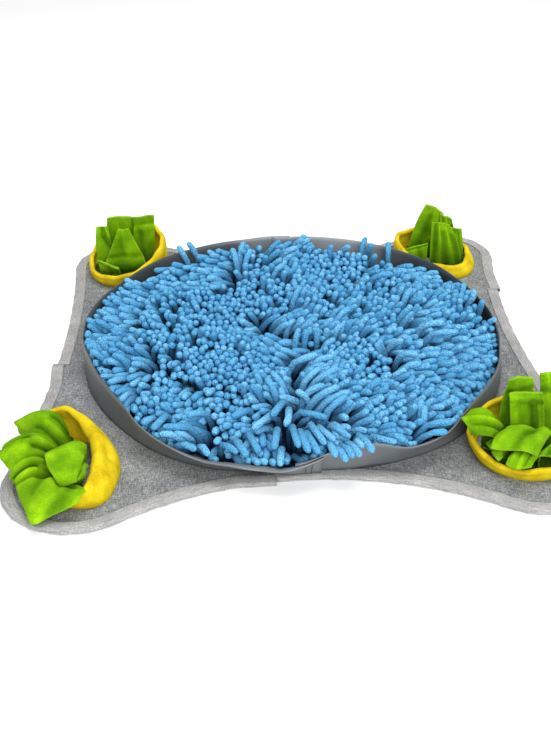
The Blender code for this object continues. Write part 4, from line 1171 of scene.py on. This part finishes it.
def plan_noodles(chance):
    """Root, length, wanted directions, freedom and weight of every noodle."""
    places = root_places(chance)
    count = len(places)
    lengths = NOODLE_LENGTH + chance.uniform(-NOODLE_SPREAD, NOODLE_SPREAD, count)
    lengths += BACK_EXTRA * np.clip((places[:, 1] - BACK_FROM) / BACK_DEPTH, 0, 1)
    swing = chance.normal(0, LEAN_CHANCE, (count, 3)) * (1, 1, 0.5)
    parts = np.linspace(0, 1, BEADS - 1)
    sway = (chance.normal(0, SWAY_ONCE, (count, 1, 3)) * np.sin(parts * 3.1)[None, :, None]
            + chance.normal(0, SWAY_TWICE, (count, 1, 3)) * np.sin(parts * 6.3)[None, :, None])
    ends = places
    for _ in range(4):
        wanted = curve_ways(unit(lean_field(ends) + swing), sway)
        reach = wanted.mean(axis=1)[:, :2] * lengths[:, None] * 0.9
        ends = 0.5 * ends + 0.5 * (places + reach)
    paths = [rod_path(rod) for rod in RODS + OVERHANGS]
    set_roots = np.array([path[0][:2] for path in paths])
    set_ways = [path_ways(path) for path in paths]
    nearest_set = ((places[:, None] - set_roots[None]) ** 2).sum(axis=2).min(axis=1)
    clear = nearest_set > (SET_APART * NOODLE_PITCH) ** 2
    kept = int(clear.sum())
    roots = np.concatenate([places[clear], set_roots])
    lengths = np.concatenate([lengths[clear], [length for _, length in set_ways]])
    wanted = np.concatenate([wanted[clear], np.array([ways for ways, _ in set_ways])])
    free = np.arange(len(roots)) >= kept + len(RODS)
    weight = np.where(np.arange(len(roots)) < kept, 1.0, SET_WEIGHT)
    return roots, lengths, wanted, free, weight


def near_pairs(points, owner, reach):
    """Pairs of beads of different noodles within reach, found by a grid of cells."""
    cells = np.floor(points / reach).astype(np.int64)
    cells -= cells.min(axis=0) - 1
    size = cells.max(axis=0) + 2
    key = (cells[:, 0] * size[1] + cells[:, 1]) * size[2] + cells[:, 2]
    order = np.argsort(key, kind="stable")
    ordered = key[order]
    found = []
    steps = [(x, y, z) for x in (-1, 0, 1) for y in (-1, 0, 1) for z in (-1, 0, 1) if (x, y, z) >= (0, 0, 0)]
    for x, y, z in steps:
        wanted = key + (x * size[1] + y) * size[2] + z
        low = np.searchsorted(ordered, wanted, "left")
        count = np.searchsorted(ordered, wanted, "right") - low
        first = np.repeat(np.arange(len(points)), count)
        offset = np.arange(count.sum()) - np.repeat(np.cumsum(count) - count, count)
        second = order[np.repeat(low, count) + offset]
        keep = owner[first] != owner[second]
        if (x, y, z) == (0, 0, 0):
            keep &= first < second
        found.append(np.stack([first[keep], second[keep]], axis=1))
    pairs = np.concatenate(found)
    apart = np.linalg.norm(points[pairs[:, 0]] - points[pairs[:, 1]], axis=1)
    return pairs[apart < reach]


def clear_wall(beads, table, free):
    """Push beads away from the wall's two slopes, and back inside if they may not leave the tray."""
    flat = beads.reshape(-1, 3)
    may_leave = np.repeat(free, beads.shape[1])
    radius = np.hypot(flat[:, 0], flat[:, 1])
    azimuth = np.degrees(np.arctan2(flat[:, 1], flat[:, 0])) % 360
    low = np.floor(azimuth).astype(int)
    share = (azimuth - low)[:, None, None]
    wall = table[low] * (1 - share) + table[low + 1] * share
    spot = np.stack([radius, flat[:, 2]], axis=1)
    best = np.full(len(spot), np.inf)
    closest = np.zeros_like(spot)
    inward = np.zeros_like(spot)
    for part in range(2):
        start = wall[:, part]
        run = wall[:, part + 1] - start
        along = np.clip(((spot - start) * run).sum(axis=1) / (run ** 2).sum(axis=1), 0, 1)
        place = start + run * along[:, None]
        away = np.linalg.norm(spot - place, axis=1)
        better = away < best
        best = np.where(better, away, best)
        closest[better] = place[better]
        side = np.stack([-run[:, 1], run[:, 0]], axis=1) / np.linalg.norm(run, axis=1, keepdims=True)
        inward[better] = side[better]
    clearance = NOODLE_RADIUS + WALL_THICKNESS / 2 + GAP
    offset = spot - closest
    inside = (offset * inward).sum(axis=1)
    below_brim = spot[:, 1] < wall[:, 2, 1]
    way = np.where(best[:, None] > 1e-6, offset / np.maximum(best, 1e-6)[:, None], inward)
    astray = (inside < 0) & below_brim & ~may_leave
    way = np.where(astray[:, None], inward, way)
    push = astray | (best < clearance)
    moved = np.where(push[:, None], closest + way * clearance, spot)
    scale = moved[:, 0] / np.maximum(radius, 1e-9)
    flat[:, 0] *= scale
    flat[:, 1] *= scale
    flat[:, 2] = moved[:, 1]


SETTLE_STEPS = 150
SETTLE_FALL = 0.00010
FIRMNESS = 0.10                 # how far a bead goes back to its wanted place in each step
SET_FIRMNESS = 0.22             # the same for a noodle that lies clear
PAIR_STEPS = 6                  # near beads are looked up again after so many steps
PAIR_REACH = 1.35               # as a share of a noodle's thickness


def settle(roots, lengths, wanted, free, weight):
    """Lay the noodles over each other: chains of beads that keep their lengths and lean as wanted."""
    count = len(roots)
    step = (lengths / (BEADS - 1))[:, None]
    beads = np.zeros((count, BEADS, 3))
    beads[:, 0, :2] = roots
    beads[:, 0, 2] = ROOT_HEIGHT
    beads[:, 1:] = beads[:, :1] + np.cumsum(wanted * step[:, :, None], axis=1)
    owner = np.repeat(np.arange(count), BEADS)
    give = np.repeat(1 / weight, BEADS)
    wall = np.array([wall_line(azimuth) for azimuth in range(361)])
    width = 2 * NOODLE_RADIUS
    firmness = np.where(weight > 1, SET_FIRMNESS, FIRMNESS)[:, None]
    fall = np.linspace(0, 1, BEADS)[None, :] * SETTLE_FALL / weight[:, None]
    for turn in range(SETTLE_STEPS):
        beads[:, :, 2] -= fall
        for i in range(1, BEADS):
            aim = beads[:, i - 1] + wanted[:, i - 1] * step
            beads[:, i] += (aim - beads[:, i]) * firmness
        flat = beads.reshape(-1, 3)
        if turn % PAIR_STEPS == 0:
            pairs = near_pairs(flat, owner, width * PAIR_REACH)
            share = give[pairs[:, 0]] / (give[pairs[:, 0]] + give[pairs[:, 1]])
            shares = (share, 1 - share)
        gap = flat[pairs[:, 0]] - flat[pairs[:, 1]]
        apart = np.maximum(np.linalg.norm(gap, axis=1), 1e-7)
        depth = np.maximum(width - apart, 0) / apart
        push = gap * depth[:, None]
        hit = depth > 0
        total = np.zeros_like(flat)
        touches = np.zeros(len(flat))
        for column, sign in ((0, 1), (1, -1)):
            index = pairs[hit, column]
            touches += np.bincount(index, minlength=len(flat))
            part = push[hit] * shares[column][hit, None] * sign
            for axis in range(3):
                total[:, axis] += np.bincount(index, part[:, axis], minlength=len(flat))
        flat += total / np.maximum(touches * 0.5, 1)[:, None]
        beads[:, 0, :2] = roots
        beads[:, 0, 2] = ROOT_HEIGHT
        for i in range(1, BEADS):
            beads[:, i] = beads[:, i - 1] + unit(beads[:, i] - beads[:, i - 1]) * step
        beads[:, :, 2] = np.maximum(beads[:, :, 2], ROOT_HEIGHT)
        clear_wall(beads, wall, free)
    return beads


NOODLE_SIDES = 8
NOODLE_RINGS = (0.0, 0.34, 0.58, 0.78)      # shares of the length; the tip's rings follow
TIP_SHOULDER = 0.0030                       # from the tip back to where it starts to round
TIP_CROWN = 0.0009
TIP_NARROW = 0.66
NOODLE_SEED = 7
FATNESS = (0.94, 1.06)                      # noodles differ in thickness,
SWELL = 0.05                                # swell and narrow along their length
SWELL_TURNS = 14
NOODLE_TONES = (0.30, 0.70)                 # and differ in tone


def model_noodle():
    """One noodle of unit length and radius: a circle drawn up ring by ring, with a rounded tip."""
    bpy.ops.object.select_all(action="DESELECT")
    bpy.ops.mesh.primitive_circle_add(vertices=NOODLE_SIDES, radius=1)
    noodle = bpy.context.object
    bpy.ops.object.mode_set(mode="EDIT")
    bpy.ops.mesh.select_mode(type="VERT")
    bpy.ops.mesh.select_all(action="SELECT")
    heights = [*NOODLE_RINGS, 1 - TIP_SHOULDER / NOODLE_LENGTH, 1 - TIP_CROWN / NOODLE_LENGTH, 1.0]
    for low, high in zip(heights, heights[1:]):
        bpy.ops.mesh.extrude_region_move(TRANSFORM_OT_translate={"value": (0, 0, high - low)})
        if high > heights[-3]:
            narrow = TIP_NARROW if high < 1 else 0.0
            bpy.ops.transform.resize(value=(narrow, narrow, 1))
    bpy.ops.mesh.select_all(action="SELECT")
    bpy.ops.mesh.remove_doubles(threshold=0.0001)
    bpy.ops.mesh.select_all(action="DESELECT")
    bpy.ops.mesh.select_non_manifold()
    bpy.ops.mesh.edge_face_add()
    bpy.ops.object.mode_set(mode="OBJECT")
    face_outwards(noodle)
    return noodle


def points_and_faces(piece):
    """A piece's points from the lowest up, and its faces by them, always in the same order."""
    places = np.array([vertex.co for vertex in piece.data.vertices])
    order = np.lexsort(np.round(places, 5).T)
    rank = np.argsort(order)
    faces = [tuple(int(rank[i]) for i in face.vertices) for face in piece.data.polygons]
    return places[order], sorted(faces, key=sorted)


def smooth_path(beads, shares):
    """Points and directions at shares of each chain, on a Catmull-Rom curve through its beads."""
    before = 2 * beads[:, :1] - beads[:, 1:2]
    after = 2 * beads[:, -1:] - beads[:, -2:-1]
    padded = np.concatenate([before, beads, after], axis=1)
    points = []
    ways = []
    for share in shares:
        along = min(share * (BEADS - 1), BEADS - 1 - 1e-9)
        index = int(along)
        t = along - index
        a, b, c, d = (padded[:, index + i] for i in range(4))
        square = 2 * a - 5 * b + 4 * c - d
        cube = 3 * b - a - 3 * c + d
        points.append(0.5 * (2 * b + (c - a) * t + square * t ** 2 + cube * t ** 3))
        ways.append(0.5 * ((c - a) + 2 * square * t + 3 * cube * t ** 2))
    return np.stack(points, axis=1), unit(np.stack(ways, axis=1))


def make_noodles(material):
    """Copies of one noodle, each bent along its settled chain, joined into one pile."""
    chance = np.random.default_rng(NOODLE_SEED)
    beads = settle(*plan_noodles(chance))
    count = len(beads)
    pattern = model_noodle()
    local, faces = points_and_faces(pattern)
    bpy.data.objects.remove(pattern, do_unlink=True)
    shares, ring = np.unique(np.round(local[:, 2], 5), return_inverse=True)
    points, ways = smooth_path(beads, shares)
    side = unit(np.cross(ways[:, 0], [0.31, 0.95, 0.05]))
    sides = []
    for i in range(len(shares)):
        side = unit(side - ways[:, i] * (side * ways[:, i]).sum(axis=1, keepdims=True))
        sides.append(side)
    sides = np.stack(sides, axis=1)
    ups = np.cross(ways, sides)
    fat = NOODLE_RADIUS * chance.uniform(*FATNESS, count)
    swell = 1 + SWELL * np.sin(local[:, 2][None, :] * SWELL_TURNS + chance.uniform(0, 6, (count, 1)))
    size = fat[:, None] * swell
    spots = (points[:, ring] + sides[:, ring] * (local[:, 0][None] * size)[:, :, None]
             + ups[:, ring] * (local[:, 1][None] * size)[:, :, None])
    each = len(local)
    all_faces = [tuple(k * each + i for i in face) for k in range(count) for face in faces]
    pile = add_mesh("noodles", spots.reshape(-1, 3), all_faces)
    mark_points(pile, "tone", np.repeat(chance.uniform(*NOODLE_TONES, count), each))
    # the share along each noodle, by which its material paints shade towards the root
    mark_points(pile, "along", np.tile(local[:, 2], count))
    face_outwards(pile)
    finish_piece(pile, material, "blue_chenille", "noodle_pile")


BACKING_SIDES = 96
BACKING_HEIGHT = 0.0048
BACKING_THICKNESS = 0.0015
BACKING_RINGS = 5
BACKING_RING_WIDTH = 0.03


def make_backing(material):
    """The knitted ground that the noodles are looped through, hidden but for the gaps between them."""
    bpy.ops.object.select_all(action="DESELECT")
    bpy.ops.mesh.primitive_circle_add(vertices=BACKING_SIDES, radius=NOODLE_ROOTS, fill_type="NGON",
                                      location=(0, 0, BACKING_HEIGHT))
    backing = bpy.context.object
    backing.name = "pile_ground"
    bpy.ops.object.transform_apply(location=True, rotation=True, scale=True)
    bpy.ops.object.mode_set(mode="EDIT")
    bpy.ops.mesh.select_all(action="SELECT")
    for _ in range(BACKING_RINGS):
        bpy.ops.mesh.inset(thickness=BACKING_RING_WIDTH)
    bpy.ops.object.mode_set(mode="OBJECT")
    apply_modifier(backing, "SOLIDIFY", thickness=BACKING_THICKNESS, offset=-1)
    backing.data.shade_smooth()
    finish_piece(backing, material, "blue_chenille", "noodle_pile")


# ---- pockets ----

POCKET_LEVELS = 14
RIM_FROM = 0.93                 # as a share of the wall's height; from there the rim is rolled
RIM_WAVE_OUT = 0.0009
RIM_WAVE_UP = 0.0010
RIM_WAVE_FINE = 0.0005
PLEAT = 0.0012
ROLL_FROM = 0.66                # where the wall starts to thicken to its roll, over what share of its height
ROLL_OVER = 0.20
LIP_FROM = 0.60                 # the same for a collar's further roll
LIP_OVER = 0.25
PINCH_AT = 0.62                 # the height of a pinch and its spread, as such shares
PINCH_SPREAD = 0.16
# A collar may be pinched in at one angle, rolled further in at another and pressed down by leaves at a third.
Collar = namedtuple("Collar", "pinch pinch_angle pinch_width lip lip_angle dip dip_angle dip_width",
                    defaults=(0, 0, 1, 0, 0, 0, 0, 1))
COLLARS = {"front_left": Collar(pinch=0.0028, pinch_angle=-4, pinch_width=7, lip=0.0060, lip_angle=-8,
                                dip=0.0042, dip_angle=146, dip_width=22)}


def pocket_frame(pocket, angle):
    """Foot, waist and rim on the middle line of a pocket's wall."""
    ahead = heading(angle)
    swell = 1 + pocket.corner * max(0.0, heading(angle - pocket.corner_side).x) ** CORNER_SPREAD
    foot = Vector((pocket.x + pocket.foot_x * ahead.x * swell, pocket.y + pocket.foot_y * ahead.y * swell,
                   PANEL_THICKNESS + GAP))
    height = pocket.height + pocket.swing * math.cos(math.radians(angle - pocket.high_side))
    reach = heading(pocket.turn) * pocket.rim_x * ahead.x + heading(pocket.turn + 90) * pocket.rim_y * ahead.y
    rim = Vector((pocket.x + pocket.shift_x + reach.x, pocket.y + pocket.shift_y + reach.y,
                  PANEL_THICKNESS + GAP + height))
    out = Vector((*ahead, 0))
    return foot, (foot + rim) / 2 + out * pocket.bulge * min(1.0, height / pocket.height), rim, out


def pocket_wall(name, angle):
    """A closed section: outer face from foot to rim, over the rolled rim and down inside."""
    pocket = POCKETS[name]
    collar = COLLARS.get(name, Collar())
    foot, waist, rim, out = pocket_frame(pocket, angle)
    turn = math.radians(angle)
    rim += out * RIM_WAVE_OUT * math.sin(turn * 5 + pocket.high_side)
    rim.z += RIM_WAVE_UP * math.sin(turn * 4 + pocket.height * 1000) + RIM_WAVE_FINE * math.sin(turn * 11)
    rim.z -= collar.dip * bump(turned(angle - collar.dip_angle), collar.dip_width)
    lip = max(collar.lip * math.cos(math.radians(angle - collar.lip_angle)), 0.0)
    pinch = collar.pinch * bump(turned(angle - collar.pinch_angle), collar.pinch_width)
    pleat = PLEAT * math.sin(math.radians(angle * 9)) * math.sin(math.radians(angle * 4 + 50))
    bend = waist * 2 - (foot + rim) / 2
    outer = []
    inner = []
    for i in range(POCKET_LEVELS):
        share = i / (POCKET_LEVELS - 1) * RIM_FROM
        run = curve_way(foot, bend, rim, share)
        across = (out - run * out.dot(run)).normalized()
        dent = pinch * bump(share - PINCH_AT, PINCH_SPREAD)
        middle = curve(foot, bend, rim, share) + across * (pleat * share - dent)
        roll = smooth((share - ROLL_FROM) / ROLL_OVER)
        thick = POCKET_THICKNESS / 2 + (RIM_ROLL - POCKET_THICKNESS / 2) * roll
        outer.append(middle + across * thick)
        inner.append(middle - across * (thick + lip * smooth((share - LIP_FROM) / LIP_OVER)))
    crest = []
    for degrees in (35, 90, 145):
        swing = heading(degrees)
        crest.append(middle + across * (swing.x * (RIM_ROLL + lip / 2) - lip / 2)
                     + run * (swing.y * RIM_ROLL))
    return outer + crest + inner[::-1]


def make_pockets(material):
    for name in POCKETS:
        sections = [pocket_wall(name, 360 * i / POCKET_STATIONS) for i in range(POCKET_STATIONS)]
        cup = add_band("cup_" + name, sections, closed=True)
        finish_piece(cup, material, "yellow_fleece", "pocket_" + name)
        around = run_lengths([section[0] for section in sections + sections[:1]])[-1]
        height = sum(run_lengths(section)[-1] / 2 for section in sections) / len(sections)


# ---- leaves ----

LEAF_ALONG = 36
LEAF_ACROSS = 24
LEAF_SPAN = (60, 14)            # a leaf's usual length and half width, by which folds are measured
FOLD_DEPTH = 1.5                # how much deeper and tighter the cloth folds than the table's figures
FOLD_TIGHTNESS = 0.72
FOLD_LEAST = 2.0                # the narrowest fold that the fleece takes, in millimetres
GATHER = 0.8                    # the pleats at a leaf's sewn root, in millimetres
SLOW_WAVE = 0.6                 # its slow waves, in millimetres
CORNER_CURL = 2.4               # how far its corners may curl, in millimetres
SKIRT_ROWS = 7                  # the cloth runs on past its sewn root and spreads on the pocket's floor
SKIRT_REACH = 0.90              # as a share of the pocket's foot
SKIRT_RISE = 9.0
WIDENED = 1.22                  # leaves that lie out over the rim are spread wider, and droop at both sides
DROOP = 0.024
DROOP_FROM = 0.75
FOLD_TONE = 0.0065              # from the deepest trough, which gets painted shade, to the highest ridge, which gets a painted highlight
EDGE_WAVE = 0.012               # how far a cut edge waves, as a share of the leaf's length
NUDGE = 0.02                    # the step on either side by which a leaf's slope is taken
PHASE_STEP = 1.7


def leaf_pocket(leaf):
    """The pocket that a leaf is sewn into, and the leaf's place of reference in it."""
    pocket = POCKETS[leaf.name.rsplit("_", 1)[0]]
    return pocket, Vector((pocket.x, pocket.y, PANEL_THICKNESS + LEAF_LIFT))


def leaf_phase(leaf):
    """Where the waves of a leaf start, so that no two leaves wave alike."""
    return LEAVES.index(leaf) * PHASE_STEP


def on_line(line, across):
    """A place on one of a leaf's three lines, from -1 at its left end to 1 at its right."""
    left, right = line
    return Vector(left).lerp(Vector(right), (across + 1) / 2)


def leaf_place(leaf, share, across):
    """A place on a leaf's middle surface: share runs from root to cut edge, across from -1 to 1."""
    bend = on_line(leaf.bend, across) + Vector(leaf.bow) * (1 - across ** 2)
    edge = on_line(leaf.edge, across) + Vector(leaf.tip) * (1 - abs(across))
    return leaf_pocket(leaf)[1] + curve(on_line(leaf.root, across), bend, edge, share) * MM


def crease(leaf, share, across):
    """How far the cloth stands off a leaf's plain curve, by its folds, gathered root and slow waves."""
    length, half_width = LEAF_SPAN
    x = share * length
    y = across * half_width
    height = 0.0
    for share_a, across_a, share_b, across_b, ridge, width in leaf.folds:
        start = Vector((share_a * length, across_a * half_width))
        run = Vector((share_b * length, across_b * half_width)) - start
        spot = Vector((x, y)) - start
        reach = min(max(spot.dot(run) / run.length_squared, 0.0), 1.0)
        away = (spot - run * reach).length
        height += ridge * FOLD_DEPTH * bump(away, max(width * FOLD_TIGHTNESS, FOLD_LEAST))
    phase = leaf_phase(leaf)
    height += GATHER * (1 - share) ** 2 * math.sin(across * 8 + phase)
    height += (SLOW_WAVE * share * math.sin(0.16 * x + 0.12 * y + phase)
               * math.cos(0.21 * y - 0.05 * x + 2 * phase))
    height += CORNER_CURL * share ** 6 * across ** 4 * math.sin(phase + across * 2)
    return height * MM


def skirt_place(leaf, share, across):
    """A place on the cloth past the sewn root: share runs from the root to the outer edge on the floor."""
    pocket, base = leaf_pocket(leaf)
    root = on_line(leaf.root, across)
    out = (root + on_line(leaf.root, 0)).normalized()
    radius = 1 / math.hypot(out.x * MM / pocket.foot_x, out.y * MM / pocket.foot_y)
    spot = root.lerp(out * max(radius * SKIRT_REACH, root.length + 2), share)
    spot.z += (SKIRT_RISE * math.sin(math.pi * min(share * 1.5, 1.0) * 0.5)
               * (0.60 + 0.40 * math.sin(across * 7 + leaf_phase(leaf) + share * 2)))
    return base + spot * MM


def leaf_rows(leaf):
    """Rows of places on the cloth from its outer edge on the floor over its root to its cut edge, and how far
    each place stands off by folds."""
    widen = WIDENED if leaf.lies_out else 1.0
    marks = [widen * (2 * k / LEAF_ACROSS - 1) for k in range(LEAF_ACROSS + 1)]
    rows = [[skirt_place(leaf, 1 - i / SKIRT_ROWS, across) for across in marks] for i in range(SKIRT_ROWS)]
    folds = [0.0] * (SKIRT_ROWS * len(marks))
    for i in range(LEAF_ALONG + 1):
        row = []
        for across in marks:
            share = i / LEAF_ALONG * (1 + EDGE_WAVE * math.sin(across * 2.8 + leaf_phase(leaf)))
            along = leaf_place(leaf, share + NUDGE, across) - leaf_place(leaf, share - NUDGE, across)
            width = leaf_place(leaf, share, across + NUDGE) - leaf_place(leaf, share, across - NUDGE)
            normal = along.cross(width).normalized()
            droop = DROOP * max(abs(across) - DROOP_FROM, 0) ** 2 * leaf.lies_out
            folds.append(crease(leaf, share, across))
            row.append(leaf_place(leaf, share, across) + normal * (folds[-1] - droop))
        rows.append(row)
    return rows, folds


def make_leaves(material):
    for leaf in LEAVES:
        rows, folds = leaf_rows(leaf)
        piece = add_cloth("fleece_" + leaf.name, rows)
        spots = [(i, k) for i in range(len(rows)) for k in range(LEAF_ACROSS + 1)]
        # shares out from the root, by which the material paints shade at the root
        mark_points(piece, "out", [max(i - SKIRT_ROWS, 0) / LEAF_ALONG for i, k in spots])
        # the cut edges, which the material lightens as a painted highlight
        mark_points(piece, "hem", [i == len(rows) - 1 or k in (0, LEAF_ACROSS) for i, k in spots])
        # fold heights, by which the material paints shade in troughs and highlights on ridges
        mark_points(piece, "fold", [0.5 + height / FOLD_TONE for height in folds])
        apply_modifier(piece, "SOLIDIFY", thickness=LEAF_THICKNESS, offset=0)
        finish_piece(piece, material, "green_fleece", "leaf_" + leaf.name)
        length = run_lengths([row[LEAF_ACROSS // 2] for row in rows])[-1]
        width = run_lengths(rows[SKIRT_ROWS + LEAF_ALONG // 2])[-1]


# ---- stage ----

def make_camera():
    place, right, up, back = camera_axes()
    camera = bpy.data.objects.new("camera", bpy.data.cameras.new("camera"))
    bpy.context.collection.objects.link(camera)
    camera.data.lens = CAMERA_LENS
    camera.data.sensor_fit = "HORIZONTAL"
    camera.data.sensor_width = SENSOR_WIDTH
    camera.matrix_world = Matrix.Translation(place) @ Matrix((right, up, back)).transposed().to_4x4()
    bpy.context.scene.camera = camera


def make_stage():
    bpy.ops.object.select_all(action="DESELECT")
    bpy.ops.mesh.primitive_plane_add(size=FLOOR_WIDTH, location=(0, 0, -FLOOR_BELOW))
    floor = bpy.context.object
    floor.name = "floor"
    paint = Cloth("floor_paint", 0.9, specular=0.5)
    paint.set({"Base Color": FLOOR_COLOUR, "Emission Color": (1, 1, 1), "Emission Strength": FLOOR_GLOW})
    floor.data.materials.append(paint.material)
    for lamp in LAMPS:
        light = bpy.data.lights.new(lamp.name, "AREA")
        light.size = lamp.size
        light.energy = lamp.watts
        holder = bpy.data.objects.new(lamp.name, light)
        bpy.context.collection.objects.link(holder)
        holder.location = (lamp.x, lamp.y, lamp.z)
        holder.rotation_euler = Vector(holder.location).to_track_quat("Z", "Y").to_euler()
    world = bpy.data.worlds.new("room")
    world.use_nodes = True
    sky = world.node_tree.nodes["Background"].inputs
    sky["Color"].default_value = (1, 1, 1, 1)
    sky["Strength"].default_value = WORLD_STRENGTH
    bpy.context.scene.world = world
    bpy.context.scene.view_settings.view_transform = "Standard"


def main():
    make_camera()
    make_stage()
    points = outline()
    make_panel(points, melange_cloth())
    make_bindings(points, tape_cloth(), thread_cloth("light_grey_thread", (0.50, 0.50, 0.49)))
    make_walls(wall_cloth(), thread_cloth("dark_grey_thread", (0.06, 0.065, 0.07)))
    make_backing(ground_cloth())
    make_noodles(chenille())
    make_pockets(pocket_cloth())
    make_leaves(leaf_cloth())


main()
